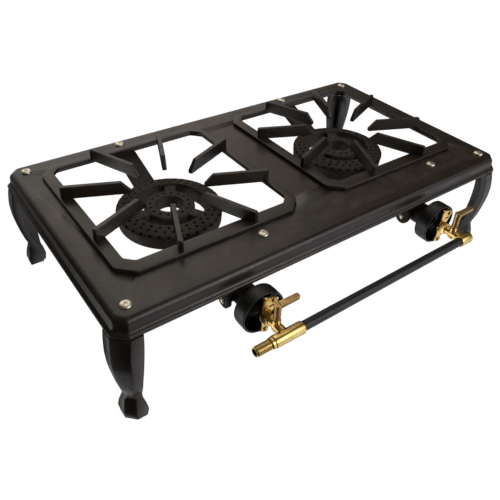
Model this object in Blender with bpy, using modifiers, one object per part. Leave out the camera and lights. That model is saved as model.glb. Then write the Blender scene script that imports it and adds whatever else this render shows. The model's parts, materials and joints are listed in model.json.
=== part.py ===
"""Two-burner propane stove: cast-iron frame on four legs, gas manifold in front.

Metres, +Z up.  The origin is on the floor, under the middle of the stove's
bounding box.  +X runs along the long side, the valves face -Y.
Plan positions below are measured from the middle of the frame; FRAME_Y moves
them all back so that the bounding box is centred on the origin.
"""
import bpy
import bmesh
from math import cos, pi, radians, sin, sqrt
from mathutils import Matrix, Vector

# ---------------------------------------------------------------- dimensions
GAP = 0.0003                 # clearance between neighbouring pieces
PLATE_TOP = 0.149            # height of the flat top above the floor
PLATE_THICK = 0.005
FRAME_HALF_X = 0.300         # frame wall, half length
FRAME_HALF_Y = 0.165         # frame wall, half width
CORNER_CHAMFER = 0.0115
SHOULDER = 0.008             # rounding between the top and the wall
SKIRT_DEPTH = 0.0215
SKIRT_WALL = 0.005
BEAD_OUT = 0.005             # how far the skirt's bottom bead stands out

BURNER_X = 0.147             # burner axes, left and right of the middle
BURNER_Y = 0.009
CORNER_SCREW_X = 0.2795
CORNER_SCREW_Y = 0.1445
BACK_SCREW_Y = 0.1495
EAR_X = 0.0465               # front ear, measured from the burner's axis
EAR_Y = -0.127
EAR_BOTTOM = -0.0480

GRATE_LEFT, GRATE_RIGHT = -0.1220, 0.1218    # outer edge, from the burner axis
GRATE_FRONT, GRATE_BACK = -0.1215, 0.1260
GRATE_CHAMFER = 0.0183
RIM_LEFT, RIM_RIGHT = 0.0155, 0.0105         # width of each side of the rim
RIM_FRONT, RIM_BACK = 0.0180, 0.0100
RIM_THICK = 0.0045
LEDGE_OVERLAP = 0.0052       # how far the rim laps over the frame's opening
FINGER_REACH_IN = 0.0455     # radius of the finger tips
FINGER_REACH_OUT = 0.1285
FINGER_HEIGHT = 0.0185       # top of the fingers above the plate
FINGER_THICK = 0.0062
FINGER_ANGLE = radians(23.0)

HEAD_TOP = -0.0190           # burner head, heights measured from the plate top
HEAD_EDGE = -0.0225
HEAD_BOTTOM = -0.0420
HEAD_RADIUS = 0.0680
HEAD_INNER = 0.0465
CORE_RADIUS = 0.0325
CORE_HOLE = 0.0170
CORE_BOTTOM = -0.0370
BRIDGES = (60, 180, 300)     # angles of the arms between ring and core
BRIDGE_WIDTH = 0.0150
PIPE_Z = -0.0450             # height of the gas line and of both mixer tubes
TUBE_RADIUS = 0.0145
TUBE_BORE = 0.0100
TUBE_END_Y = -0.1800
TUBE_JOINS = -0.0560         # where the tube meets the ring, from the burner's axis
PORT_RADIUS = 0.0019
PORT_ROWS = ((0.0518, 30, 0.0), (0.0583, 36, 0.5), (0.0247, 16, 0.5))    # radius, count, offset
NOTCHES = 36                 # grooves in the ring's upper edge
NOTCH_WIDTH = 0.0036
NOTCH_INNER = 0.0650         # radius where the grooves start
NOTCH_DEPTH = 0.0032
NOTCH_FREE = radians(15.0)   # no grooves this near to the middle of the back arm
ARM_WIDTH = 0.028            # arm at the back of the burner
ARM_THICK = 0.006
LUG_Y = -0.1500              # lug beside the mixer tube
LUG_Z = -0.0480
RING_STEPS = 36              # facets round the burner's ring
CORE_STEPS = 24

CUP_RADIUS = 0.0275
CUP_BACK_Y = -0.1755
CUP_FRONT_Y = -0.1935
CUP_WALL = 0.0025
POST_OUT = 0.0015            # how far the screw posts stand out of the cup
POST_HALF = 0.0045           # half width of those posts
STRAP_HUB = 0.0085           # half width of the strap round the jet
STRAP_THICK = 0.0028
STRAP_FOOT = 0.0045          # half width of its lower arm
STRAP_SCREW = 0.0205         # distance of the strap screws from the cup's axis
STRAP_TURN = radians(26.0)   # upper strap screw, turned from upright towards +X
STRAP_SCREW_SHANK = 0.0015
STRAP_SCREW_HOLE = 0.0018
STRAP_BACK_Y = CUP_FRONT_Y - POST_OUT - GAP
STRAP_FRONT_Y = STRAP_BACK_Y - STRAP_THICK
JET_RADIUS = 0.0045
JET_HOLE = 0.0010

TAP_Y = -0.2150              # upright axis of both gas taps
MANIFOLD_Y = -0.2320
TEE_RADIUS = 0.00725
PIPE_RADIUS = 0.00575
PIPE_BORE = 0.0040
SOCKET_DEPTH = 0.008
TEE_LEFT, TEE_RIGHT = -0.0170, 0.0215        # left tee, from the tap's axis
ELBOW_LEFT, ELBOW_RIGHT = -0.0090, 0.0110    # right elbow, from the tap's axis
INLET_TIP = -0.0407          # end of the inlet nipple, from the left tap's axis
THREAD_RADIUS = 0.0058
COLLAR_RADIUS = 0.0066       # round collar of the nipple, against the tee
BARREL_RADIUS = 0.0054       # body of the tap along the gas way
HOUSING_RADIUS = 0.0048      # upright seat of the plug
HOUSING_TOP = 0.0095         # its ends, measured from the gas line
HOUSING_BOTTOM = -0.0056
COLLAR_FLATS = 0.0145
COLLAR_LENGTH = 0.0078
GAS_WAY = 0.0013             # radius of the drilling through the body and the plug
PLUG_CONE = 0.0400           # length over which the plug's taper is given
PLUG_TOP_RADIUS = 0.0035
PLUG_BOTTOM_RADIUS = 0.0028
STEM_RADIUS = 0.0040
STEM_SQUARE = 0.0042         # square end that drives the lever
STUD_RADIUS = 0.0015         # thread below the plug
STUD_END = -0.0095
PLUG_NUT_FLATS = 0.0056
PLUG_NUT_HEIGHT = 0.0024
LEVER_Z = -0.0185            # underside of the levers
LEVER_THICK = 0.0048
LEVER_REACH = 0.0275
LEVER_WIDTH = 0.0060
LEVER_CORNER = 0.0016         # rounding of the handle's end
LEVER_HUB = 0.0044
LEVER_SCREW = 0.0009         # radius of the thread that holds the lever
LEVER_SCREW_HEAD = 0.0024
LEVER_SCREW_SINK = 0.0016    # depth of the head in the lever

SCREW_SHANK = 0.00275
SCREW_HOLE = 0.00320
SCREW_HEAD = 0.0064
NUT_FLATS = 0.0100
NUT_HEIGHT = 0.0050
NUT_BORE = 0.00305
THREAD_SPARE = 0.0020        # thread left showing below a nut
FLANGE_THICK = 0.0050        # bolting flange of the legs
LUG_FACE = -0.0240           # outer face of the lug, from the burner's axis

LEG_BULGE = 0.0088           # widest point of the legs, outside the frame wall
BACK_REACH = FRAME_HALF_Y + LEG_BULGE
FRONT_REACH = TEE_RADIUS - MANIFOLD_Y
FRAME_Y = (FRONT_REACH - BACK_REACH) / 2
SIDES = (("left", -BURNER_X), ("right", BURNER_X))

# ------------------------------------------------------------------- helpers
for old in list(bpy.data.objects):
    bpy.data.objects.remove(old, do_unlink=True)

stove = bpy.data.collections.new("propane_burner_stand")
bpy.context.scene.collection.children.link(stove)


def at(x, y, z):
    """World position of a point given from the frame's middle and plate top."""
    return Vector((x, y + FRAME_Y, z + PLATE_TOP))


def make_material(name, color, metallic, roughness):
    material = bpy.data.materials.new(name)
    material.use_nodes = True
    shader = material.node_tree.nodes["Principled BSDF"]
    shader.inputs["Base Color"].default_value = (*color, 1.0)
    shader.inputs["Metallic"].default_value = metallic
    shader.inputs["Roughness"].default_value = roughness
    return material


def object_from_bmesh(name, bm):
    mesh = bpy.data.meshes.new(name)
    bmesh.ops.recalc_face_normals(bm, faces=bm.faces)
    bm.to_mesh(mesh)
    bm.free()
    obj = bpy.data.objects.new(name, mesh)
    stove.objects.link(obj)
    return obj


def settle(obj):
    """Turn an object with modifiers, or a curve, into a plain welded mesh."""
    bpy.context.view_layer.update()
    evaluated = obj.evaluated_get(bpy.context.evaluated_depsgraph_get())
    mesh = bpy.data.meshes.new_from_object(evaluated)
    bm = bmesh.new()
    bm.from_mesh(mesh)
    bmesh.ops.remove_doubles(bm, verts=bm.verts, dist=1e-6)
    bmesh.ops.recalc_face_normals(bm, faces=bm.faces)
    bm.to_mesh(mesh)
    bm.free()
    if obj.type == "MESH":
        obj.modifiers.clear()
        obj.data = mesh
        return obj
    plain = bpy.data.objects.new(obj.name + "_mesh", mesh)
    stove.objects.link(plain)
    plain.matrix_world = obj.matrix_world.copy()
    bpy.data.objects.remove(obj, do_unlink=True)
    return plain


def bake(obj, matrix):
    """Apply a transform to the object's mesh and leave the object unrotated."""
    obj.data.transform(matrix)
    if matrix.determinant() < 0:
        obj.data.flip_normals()
    return obj


def combine(target, operands, operation):
    """Boolean the operands into the target, one after another."""
    for operand in operands:
        modifier = target.modifiers.new(operation.lower(), "BOOLEAN")
        modifier.operation = operation
        modifier.object = operand
        modifier.solver = "EXACT"
    settle(target)
    for operand in operands:
        bpy.data.objects.remove(operand, do_unlink=True)
    return target


def join(target, *operands):
    return combine(target, operands, "UNION")


def cut(target, *operands):
    return combine(target, operands, "DIFFERENCE")


def box(low, high):
    low, high = Vector(low), Vector(high)
    bm = bmesh.new()
    bmesh.ops.create_cube(bm, size=1.0)
    bmesh.ops.scale(bm, vec=high - low, verts=bm.verts)
    bmesh.ops.translate(bm, vec=(low + high) / 2, verts=bm.verts)
    return object_from_bmesh("box", bm)


AXIS_TURN = {
    "X": Matrix.Rotation(pi / 2, 4, "Y"),
    "Y": Matrix.Rotation(-pi / 2, 4, "X"),
    "Z": Matrix.Identity(4),
}


def rod(axis, start, end, radius, centre=(0.0, 0.0), sides=20, end_radius=None):
    """Cylinder or cone along an axis; centre gives the other two coordinates."""
    bm = bmesh.new()
    bmesh.ops.create_cone(
        bm, cap_ends=True, segments=sides, radius1=radius,
        radius2=radius if end_radius is None else end_radius, depth=end - start)
    middle = (start + end) / 2
    place = {
        "X": (middle, *centre),
        "Y": (centre[0], middle, centre[1]),
        "Z": (*centre, middle),
    }[axis]
    bmesh.ops.transform(bm, matrix=AXIS_TURN[axis], verts=bm.verts)
    bmesh.ops.translate(bm, vec=place, verts=bm.verts)
    return object_from_bmesh("rod", bm)


def turned(profile, steps, closed=False):
    """Turn a (radius, height) profile about Z with a Screw modifier."""
    bm = bmesh.new()
    points = [bm.verts.new((radius, 0.0, height)) for radius, height in profile]
    for first, second in zip(points, points[1:]):
        bm.edges.new((first, second))
    if closed:
        bm.edges.new((points[-1], points[0]))
    obj = object_from_bmesh("turned", bm)
    screw = obj.modifiers.new("turn", "SCREW")
    screw.steps = steps
    screw.render_steps = steps
    screw.use_merge_vertices = True
    screw.merge_threshold = 1e-6
    return settle(obj)


def flat_plate(outlines, thickness):
    """Flat plate in XY from closed outlines, centred on Z = 0."""
    curve = bpy.data.curves.new("outline", "CURVE")
    curve.dimensions = "2D"
    curve.fill_mode = "BOTH"
    curve.extrude = thickness / 2
    curve.render_resolution_u = 0
    for outline in outlines:
        spline = curve.splines.new("POLY")
        spline.points.add(len(outline) - 1)
        for point, (x, y) in zip(spline.points, outline):
            point.co = (x, y, 0.0, 1.0)
        spline.use_cyclic_u = True
    obj = bpy.data.objects.new("plate", curve)
    stove.objects.link(obj)
    return settle(obj)


def loft(loops):
    """Closed solid through loops with the same number of points."""
    bm = bmesh.new()
    rows = [[bm.verts.new(point) for point in loop] for loop in loops]
    count = len(rows[0])
    for lower, upper in zip(rows, rows[1:]):
        for i in range(count):
            j = (i + 1) % count
            bm.faces.new((lower[i], lower[j], upper[j], upper[i]))
    bm.faces.new(rows[0])
    bm.faces.new(rows[-1])
    return object_from_bmesh("loft", bm)


def hexagon(axis, start, end, flats):
    """Hexagonal bar on an axis through the origin, by its width across flats."""
    return rod(axis, start, end, flats / 2 / cos(pi / 6), sides=6)


def arc(centre, radius, start, end, steps):
    """Points on an arc in the plane, angles in degrees, both ends included."""
    angles = [radians(start + (end - start) * k / steps) for k in range(steps + 1)]
    return [(centre[0] + radius * cos(a), centre[1] + radius * sin(a)) for a in angles]


def finish(obj, name, material, origin=(0.0, 0.0, 0.0), smooth=False):
    """Name the piece, colour it, and stand it at its place in the world."""
    obj.name = name
    obj.data.name = name
    obj.data.materials.clear()
    obj.data.materials.append(material)
    obj.location = at(*origin)
    if smooth:
        obj.data.shade_smooth()
        obj.data.set_sharp_from_angle(angle=radians(40))
    return obj


def copy_of(source, name, origin):
    """Second piece from the same pattern."""
    obj = bpy.data.objects.new(name, source.data)
    stove.objects.link(obj)
    obj.location = at(*origin)
    return obj


CAST_IRON = make_material("cast_iron", (0.045, 0.038, 0.033), 0.0, 0.45)
BURNER_IRON = make_material("burner_iron", (0.050, 0.042, 0.036), 0.0, 0.60)
BLACK_PAINT = make_material("black_paint", (0.012, 0.012, 0.012), 0.0, 0.35)
BRASS = make_material("brass", (0.72, 0.48, 0.14), 1.0, 0.30)
ZINC = make_material("zinc", (0.72, 0.68, 0.60), 1.0, 0.38)


# ---------------------------------------------------------------------- frame
def octagon(left, right, front, back, chamfer, z):
    """Rectangle with cut corners."""
    corners = (
        (left, front + chamfer), (left + chamfer, front),
        (right - chamfer, front), (right, front + chamfer),
        (right, back - chamfer), (right - chamfer, back),
        (left + chamfer, back), (left, back - chamfer),
    )
    return [(x, y, z) for x, y in corners]


def frame_section(offset, z):
    """Frame outline moved outwards by offset, its corners kept parallel."""
    half_x, half_y = FRAME_HALF_X + offset, FRAME_HALF_Y + offset
    chamfer = CORNER_CHAMFER + offset * (2 - sqrt(2))
    return octagon(-half_x, half_x, -half_y, half_y, chamfer, z)


def make_frame():
    turns = [radians(90 * k / 4) for k in range(5)]
    profile = [(SHOULDER * (sin(a) - 1), SHOULDER * (cos(a) - 1)) for a in turns]
    profile += [
        (0.0005, -0.0130), (0.0028, -0.0165), (BEAD_OUT, -0.0180),
        (BEAD_OUT, -0.0200), (BEAD_OUT - 0.0012, -SKIRT_DEPTH),
    ]
    frame = loft([frame_section(offset, z) for offset, z in profile])
    hollow = loft([frame_section(-SKIRT_WALL, z) for z in (-PLATE_THICK, -0.030)])
    holes = [hollow]
    for side in (-1, 1):
        x = side * BURNER_X
        inset = LEDGE_OVERLAP
        opening = [
            octagon(x + GRATE_LEFT + RIM_LEFT - inset, x + GRATE_RIGHT - RIM_RIGHT + inset,
                    BURNER_Y + GRATE_FRONT + RIM_FRONT - inset,
                    BURNER_Y + GRATE_BACK - RIM_BACK + inset, GRATE_CHAMFER * 0.7, z)
            for z in (-0.010, 0.010)]
        holes.append(loft(opening))
    for place in screw_places().values():
        holes.append(rod("Z", -0.010, 0.010, SCREW_HOLE, place, 16))
    cut(frame, *holes)
    return finish(frame, "frame", CAST_IRON)


def screw_places():
    """Plan position of each screw in the top plate, by the name of its place."""
    places = {}
    for side_x, (side, burner_x) in zip((-1, 1), SIDES):
        places["front_" + side] = (side_x * CORNER_SCREW_X, -CORNER_SCREW_Y)
        places["back_" + side] = (side_x * CORNER_SCREW_X, CORNER_SCREW_Y)
        places["front_burner_" + side] = (burner_x + EAR_X, EAR_Y)
        places["back_burner_" + side] = (burner_x, BACK_SCREW_Y)
    return places


# --------------------------------------------------------------------- grates
def make_grate():
    """Octagonal rim with eight fingers towards the burner, in one casting."""
    outer = octagon(GRATE_LEFT, GRATE_RIGHT, GRATE_FRONT, GRATE_BACK, GRATE_CHAMFER, 0.0)
    inner = octagon(GRATE_LEFT + RIM_LEFT, GRATE_RIGHT - RIM_RIGHT,
                    GRATE_FRONT + RIM_FRONT, GRATE_BACK - RIM_BACK, GRATE_CHAMFER * 0.55, 0.0)
    rim = flat_plate([[p[:2] for p in outer], [p[:2] for p in inner]], RIM_THICK)
    bake(rim, Matrix.Translation((0.0, 0.0, GAP + RIM_THICK / 2)))
    bottom = 0.0020
    nose = 0.0060
    side_view = [
        (FINGER_REACH_IN, bottom), (FINGER_REACH_OUT, bottom),
        (FINGER_REACH_OUT, FINGER_HEIGHT - 0.0008), (FINGER_REACH_OUT - 0.0008, FINGER_HEIGHT),
        (FINGER_REACH_IN + 0.0110, FINGER_HEIGHT), (FINGER_REACH_IN, nose),
    ]
    fingers = []
    for quarter in range(4):
        for sign in (-1, 1):
            finger = flat_plate([side_view], FINGER_THICK)
            bake(finger, Matrix.Rotation(pi / 2, 4, "X"))
            turn = quarter * pi / 2 + sign * FINGER_ANGLE
            fingers.append(bake(finger, Matrix.Rotation(turn, 4, "Z")))
    return join(rim, *fingers)


# ----------------------------------------------------------------------- legs
# height, outside of the wall, inside of the wall, end of the wings, corner cut
LEG_STATIONS = (
    (-0.0053, -0.0053, 0.0105, 0.0290, 0.0090),
    (-0.0218, -0.0053, 0.0105, 0.0270, 0.0090),
    (-0.0224, 0.0052, 0.0100, 0.0250, 0.0158),
    (-0.0350, 0.0073, 0.0040, 0.0233, 0.0152),
    (-0.0490, LEG_BULGE, 0.0012, 0.0213, 0.0148),
    (-0.0620, 0.0087, 0.0006, 0.0199, 0.0142),
    (-0.0750, 0.0074, 0.0014, 0.0189, 0.0130),
    (-0.0880, 0.0055, 0.0034, 0.0181, 0.0110),
    (-0.1000, 0.0033, 0.0060, 0.0178, 0.0086),
    (-0.1095, 0.0006, 0.0088, 0.0177, 0.0060),
    (-0.1150, -0.0010, 0.0104, 0.0174, 0.0048),
    (-0.1180, -0.0004, 0.0114, 0.0172, 0.0070),
    (-0.1205, 0.0014, 0.0122, 0.0170, 0.0098),
    (-0.1290, 0.0036, 0.0142, 0.0191, 0.0102),
    (-0.1385, 0.0052, 0.0152, 0.0204, 0.0104),
    (-PLATE_TOP, 0.0042, 0.0146, 0.0184, 0.0106),
)


def leg_section(station):
    """Angle section of a leg, measured inwards from the frame's square corner."""
    z, out, inside, wing, corner = station
    return [
        (wing, -out, z), (corner - out, -out, z), (-out, corner - out, z), (-out, wing, z),
        (inside, wing, z), (inside, inside, z), (wing, inside, z),
    ]


def make_leg(side_x, side_y):
    """Cast leg of angle section with its bolting flange, for one corner."""
    leg = loft([leg_section(station) for station in LEG_STATIONS])
    flange_top = -PLATE_THICK - GAP
    flange = box((0.0098, 0.0098, flange_top - FLANGE_THICK), (0.030, 0.030, flange_top))
    join(leg, flange)
    hole_at = (FRAME_HALF_X - CORNER_SCREW_X, FRAME_HALF_Y - CORNER_SCREW_Y)
    cut(leg, rod("Z", -0.020, 0.0, SCREW_HOLE, hole_at, 16))
    bake(leg, Matrix.Translation((-FRAME_HALF_X, -FRAME_HALF_Y, 0.0)))
    return bake(leg, Matrix.Diagonal((-side_x, -side_y, 1.0, 1.0)))


# -------------------------------------------------------------------- burners
def make_burner():
    """Ring burner with core, mixer tube, back arm and front ear, hollow inside."""
    head = turned([
        (HEAD_INNER, HEAD_TOP), (HEAD_RADIUS - 0.0015, HEAD_EDGE),
        (HEAD_RADIUS, HEAD_EDGE - 0.0015), (HEAD_RADIUS - 0.0015, HEAD_BOTTOM),
        (HEAD_INNER + 0.0015, HEAD_BOTTOM), (HEAD_INNER, HEAD_BOTTOM + 0.0015),
    ], RING_STEPS, closed=True)
    core = turned([
        (CORE_HOLE, HEAD_TOP), (CORE_RADIUS - 0.001, HEAD_TOP - 0.0015),
        (CORE_RADIUS, HEAD_TOP - 0.0025), (CORE_RADIUS, CORE_BOTTOM), (CORE_HOLE, CORE_BOTTOM),
    ], CORE_STEPS, closed=True)
    bridges = []
    for degrees in BRIDGES:
        bridge = box((CORE_RADIUS - 0.004, -BRIDGE_WIDTH / 2, -0.0350),
                     (HEAD_INNER + 0.004, BRIDGE_WIDTH / 2, -0.0210))
        bridges.append(bake(bridge, Matrix.Rotation(radians(degrees), 4, "Z")))
    tube = rod("Y", TUBE_END_Y - BURNER_Y, TUBE_JOINS, TUBE_RADIUS, (0.0, PIPE_Z), 24)
    boss = rod("Z", PIPE_Z - TUBE_RADIUS - 0.001, HEAD_EDGE - 0.010, 0.0170, (0.0, TUBE_JOINS), 20)
    join(head, core, *bridges, boss, tube, back_arm(), *front_ear(), *side_lug())

    room = turned([
        (0.0500, -0.0265), (0.0645, -0.0265), (0.0645, -0.0385), (0.0500, -0.0385),
    ], RING_STEPS * 2 // 3, closed=True)
    core_room = turned([
        (0.0205, -0.0240), (0.0290, -0.0240), (0.0290, -0.0335), (0.0205, -0.0335),
    ], CORE_STEPS * 2 // 3, closed=True)
    links = []
    for degrees in BRIDGES:
        link = rod("X", 0.0250, 0.0560, 0.0032, (0.0, -0.0300), 10)
        links.append(bake(link, Matrix.Rotation(radians(degrees), 4, "Z")))
    bore = rod("Y", TUBE_END_Y - BURNER_Y - 0.005, TUBE_JOINS, TUBE_BORE, (0.0, PIPE_Z), 20)
    join(room, core_room, *links, bore)
    ports = []
    for radius, count, offset in PORT_ROWS:
        for k in range(count):
            turn = 2 * pi * (k + offset) / count
            ports.append(rod("Z", -0.0300, -0.0100, PORT_RADIUS,
                             (radius * cos(turn), radius * sin(turn)), 4))
    for k in range(NOTCHES):
        turn = 2 * pi * k / NOTCHES
        if abs(turn - pi / 2) < NOTCH_FREE:
            continue
        notch = box((NOTCH_INNER, -NOTCH_WIDTH / 2, HEAD_EDGE - NOTCH_DEPTH),
                    (HEAD_RADIUS + 0.005, NOTCH_WIDTH / 2, HEAD_EDGE + 0.010))
        ports.append(bake(notch, Matrix.Rotation(turn, 4, "Z")))
    cut(head, room, merge(ports))
    screw_hole = rod("Z", -0.060, 0.0, SCREW_HOLE, (EAR_X, EAR_Y - BURNER_Y), 16)
    arm_hole = rod("Z", -0.030, 0.0, SCREW_HOLE, (0.0, BACK_SCREW_Y - BURNER_Y), 16)
    lug_hole = rod("X", -0.030, -0.0185, 0.0021, (LUG_Y - BURNER_Y, LUG_Z), 12)
    return cut(head, screw_hole, arm_hole, lug_hole)


def merge(objects):
    """Put separate closed solids that don't touch into one mesh, as one cutter."""
    bm = bmesh.new()
    for obj in objects:
        bm.from_mesh(obj.data)
        bpy.data.objects.remove(obj, do_unlink=True)
    return object_from_bmesh("merged", bm)


def back_arm():
    """Flat arm from the ring up to the plate, seen from the side as (y, z)."""
    top = -PLATE_THICK - GAP
    outline = [
        (0.060, -0.0240), (0.069, -0.0240), (0.120, top), (0.148, top),
        (0.148, top - ARM_THICK), (0.124, top - ARM_THICK), (0.072, -0.0330), (0.060, -0.0330),
    ]
    arm = flat_plate([outline], ARM_WIDTH)
    # the plate's own X and Y become the stove's Y and Z
    return bake(arm, Matrix(((0, 0, 1, 0), (1, 0, 0, 0), (0, 1, 0, 0), (0, 0, 0, 1))))


def front_ear():
    """Post under the plate beside the mixer tube, and its web."""
    y = EAR_Y - BURNER_Y
    post = rod("Z", EAR_BOTTOM, -PLATE_THICK - GAP, 0.0085, (EAR_X, y), 20)
    web = box((0.004, y - 0.0060, EAR_BOTTOM + 0.0005), (EAR_X, y + 0.0060, -0.0385))
    return post, web


def side_lug():
    """Rounded lug beside the mixer tube, outline seen from the side as (y, z)."""
    y = LUG_Y - BURNER_Y
    outline = arc((y, LUG_Z), 0.0105, 180, 360, 10) + [(y + 0.0105, -0.0380), (y - 0.0105, -0.0380)]
    lug = flat_plate([outline], 0.0050)
    bake(lug, Matrix(((0, 0, 1, -0.0215), (1, 0, 0, 0), (0, 1, 0, 0), (0, 0, 0, 1))))
    web = box((-0.0200, y - 0.0070, -0.0500), (-0.0105, y + 0.0070, -0.0400))
    return lug, web


# ------------------------------------------------------------------- air cups
def make_cup():
    """Round mixer cup on the tube's end, axis +Y, open to the front."""
    depth = CUP_BACK_Y - CUP_FRONT_Y
    shell = turned([
        (TUBE_RADIUS + GAP, 0.0), (CUP_RADIUS - 0.0025, 0.0), (CUP_RADIUS, 0.0025),
        (CUP_RADIUS, depth), (CUP_RADIUS - CUP_WALL, depth), (CUP_RADIUS - CUP_WALL, 0.0030),
        (TUBE_RADIUS + GAP, 0.0030),
    ], 32, closed=True)
    bake(shell, Matrix.Rotation(pi / 2, 4, "X"))
    posts = []
    holes = []
    for turn in (STRAP_TURN, pi):
        post = box((-POST_HALF - 0.0001, -depth - POST_OUT, STRAP_SCREW - 0.0040),
                   (POST_HALF - 0.0001, -0.0015, CUP_RADIUS - 0.0012))
        posts.append(bake(post, Matrix.Rotation(turn, 4, "Y")))
        holes.append(rod("Y", -depth - 0.010, -depth + 0.007, STRAP_SCREW_HOLE,
                         strap_screw_at(turn), 10))
    join(shell, *posts)
    return cut(shell, *holes)


def strap_screw_at(turn):
    """Place of a strap screw across the cup's mouth, as (x, z) from its axis."""
    return (STRAP_SCREW * sin(turn), STRAP_SCREW * cos(turn))


def make_strap():
    """Brass strap over the cup's mouth: hub round the jet, wide ear, lower arm."""
    outline = (arc((0.0, 0.0), STRAP_HUB, -48, 25, 5) + arc((0.0122, 0.0180), 0.0030, 0, 80, 3)
               + arc((-0.0010, 0.0220), 0.0030, 80, 180, 3) + arc((0.0, 0.0), STRAP_HUB, 135, 228, 6)
               + arc((0.0, -STRAP_SCREW), STRAP_FOOT, 180, 360, 6))
    air_slot = (arc((0.0085, 0.0118), 0.0014, -60, 120, 4)
                + arc((0.0040, 0.0118), 0.0014, 120, 300, 4))
    strap = flat_plate([outline, air_slot], STRAP_THICK)
    bake(strap, Matrix.Rotation(pi / 2, 4, "X"))
    cutters = [rod("Y", -0.010, 0.010, JET_RADIUS + GAP, sides=16)]
    for turn in (STRAP_TURN, pi):
        cutters.append(rod("Y", -0.010, 0.010, STRAP_SCREW_HOLE, strap_screw_at(turn), 10))
    return cut(strap, *cutters)


def make_strap_screw():
    """Small slotted brass screw, head towards -Y, shank along +Y."""
    shank = STRAP_SCREW_SHANK
    screw = turned([(0.0, 0.0020), (0.0018, 0.0018), (0.0032, 0.0),
                    (shank, 0.0), (shank, -0.0085), (0.0, -0.0085)], 12)
    cut(screw, box((-0.0040, -0.0004, 0.0010), (0.0040, 0.0004, 0.0030)))
    return bake(screw, Matrix.Rotation(pi / 2, 4, "X"))


def make_jet():
    """Gas jet through the strap: its tip points into the mixer tube, +Y."""
    tip = 0.0120
    jet = turned([
        (JET_HOLE, tip), (0.0026, tip), (JET_RADIUS, tip - 0.0032),
        (JET_RADIUS, -0.0060), (0.0022, -0.0060), (0.0022, 0.0060), (JET_HOLE, 0.0090),
    ], 16, closed=True)
    return bake(jet, Matrix.Rotation(-pi / 2, 4, "X"))


# ----------------------------------------------------------------------- taps
def make_tap_body(cross_left, cross_right, closed_end):
    """Brass tap: hex collar, barrel, upright seat for the plug and cross tube."""
    collar_back = STRAP_FRONT_Y - GAP - TAP_Y
    cross_y = MANIFOLD_Y - TAP_Y
    housing = rod("Z", HOUSING_BOTTOM, HOUSING_TOP, HOUSING_RADIUS, sides=20)
    collar = hexagon("Y", collar_back - COLLAR_LENGTH, collar_back, COLLAR_FLATS)
    barrel = rod("Y", cross_y, collar_back - 0.002, BARREL_RADIUS, sides=18)
    body = rod("X", cross_left, cross_right, TEE_RADIUS, (cross_y, 0.0))
    join(body, barrel, housing, collar)
    socket_radius = PIPE_RADIUS + GAP
    cutters = [
        rod("X", cross_left - 0.002, cross_left + SOCKET_DEPTH, socket_radius, (cross_y, 0.0)),
        rod("X", cross_left + 0.004, cross_right - 0.004, 0.0034, (cross_y, 0.0), 12),
        rod("Y", cross_y, collar_back - 0.0040, GAS_WAY, sides=10),
        rod("Y", collar_back - 0.0075, collar_back + 0.002, JET_RADIUS + GAP, sides=16),
    ]
    if not closed_end:
        cutters.append(rod("X", cross_right - SOCKET_DEPTH, cross_right + 0.002,
                           socket_radius, (cross_y, 0.0)))
    cutters.append(rod("Z", -PLUG_CONE / 2, PLUG_CONE / 2, PLUG_BOTTOM_RADIUS + GAP,
                       sides=20, end_radius=PLUG_TOP_RADIUS + GAP))
    return cut(body, *cutters)


def make_plug():
    """Tapered plug with a cross bore, stem, square end and stud, axis Z."""
    slope = (PLUG_TOP_RADIUS - PLUG_BOTTOM_RADIUS) / PLUG_CONE
    middle_radius = (PLUG_TOP_RADIUS + PLUG_BOTTOM_RADIUS) / 2
    seat = HOUSING_TOP + GAP
    foot = HOUSING_BOTTOM + 0.0002
    stem_top = LEVER_Z - PIPE_Z - GAP
    square_top = LEVER_Z - PIPE_Z + LEVER_THICK - LEVER_SCREW_SINK - GAP
    plug = turned([
        (0.0, stem_top), (STEM_RADIUS, stem_top), (STEM_RADIUS, seat),
        (middle_radius + slope * seat, seat), (middle_radius + slope * foot, foot),
        (STUD_RADIUS, foot - 0.0001), (STUD_RADIUS, STUD_END), (0.0, STUD_END),
    ], 16)
    half = STEM_SQUARE / 2
    square = box((-half, -half, stem_top - 0.002), (half, half, square_top))
    join(plug, square)
    # closed at rest: the bore lies along X, across the gas way
    bore = rod("X", -0.010, 0.010, GAS_WAY, sides=10)
    thread = rod("Z", square_top - 0.0080, square_top + 0.002, LEVER_SCREW + GAP, sides=8)
    return cut(plug, bore, thread)


def make_lever():
    """Flat lever with a square hole for the plug's end, pointing along +X."""
    half = LEVER_WIDTH / 2
    shoulder = 49                # where the lever's sides run into its hub, in degrees
    corner_x, corner_y = LEVER_REACH - LEVER_CORNER, half - LEVER_CORNER
    tip = (arc((corner_x, -corner_y), LEVER_CORNER, -90, 0, 3)
           + arc((corner_x, corner_y), LEVER_CORNER, 0, 90, 3))
    hub = arc((0.0, 0.0), LEVER_HUB, shoulder, 360 - shoulder, 10)
    lever = flat_plate([tip + hub], LEVER_THICK)
    bevel = lever.modifiers.new("rounded", "BEVEL")
    bevel.width = 0.0006
    bevel.segments = 1
    bevel.limit_method = "ANGLE"
    bevel.angle_limit = radians(60)
    settle(lever)
    bake(lever, Matrix.Translation((0.0, 0.0, LEVER_THICK / 2)))
    hole = STEM_SQUARE / 2 + GAP
    sink = rod("Z", LEVER_THICK - LEVER_SCREW_SINK, LEVER_THICK + 0.002, LEVER_SCREW_HEAD + GAP, sides=14)
    return cut(lever, box((-hole, -hole, -0.010), (hole, hole, 0.010)), sink)


def make_lever_screw():
    """Flat-headed brass screw sunk in the lever, top of the thread at 0."""
    top = LEVER_SCREW_SINK - 0.0002
    screw = turned([(0.0, top), (LEVER_SCREW_HEAD, top), (LEVER_SCREW_HEAD, 0.0),
                    (LEVER_SCREW, 0.0), (LEVER_SCREW, -0.0070), (0.0, -0.0070)], 14)
    return cut(screw, box((-0.0040, -0.0004, top - 0.0006), (0.0040, 0.0004, 0.0030)))


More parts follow.
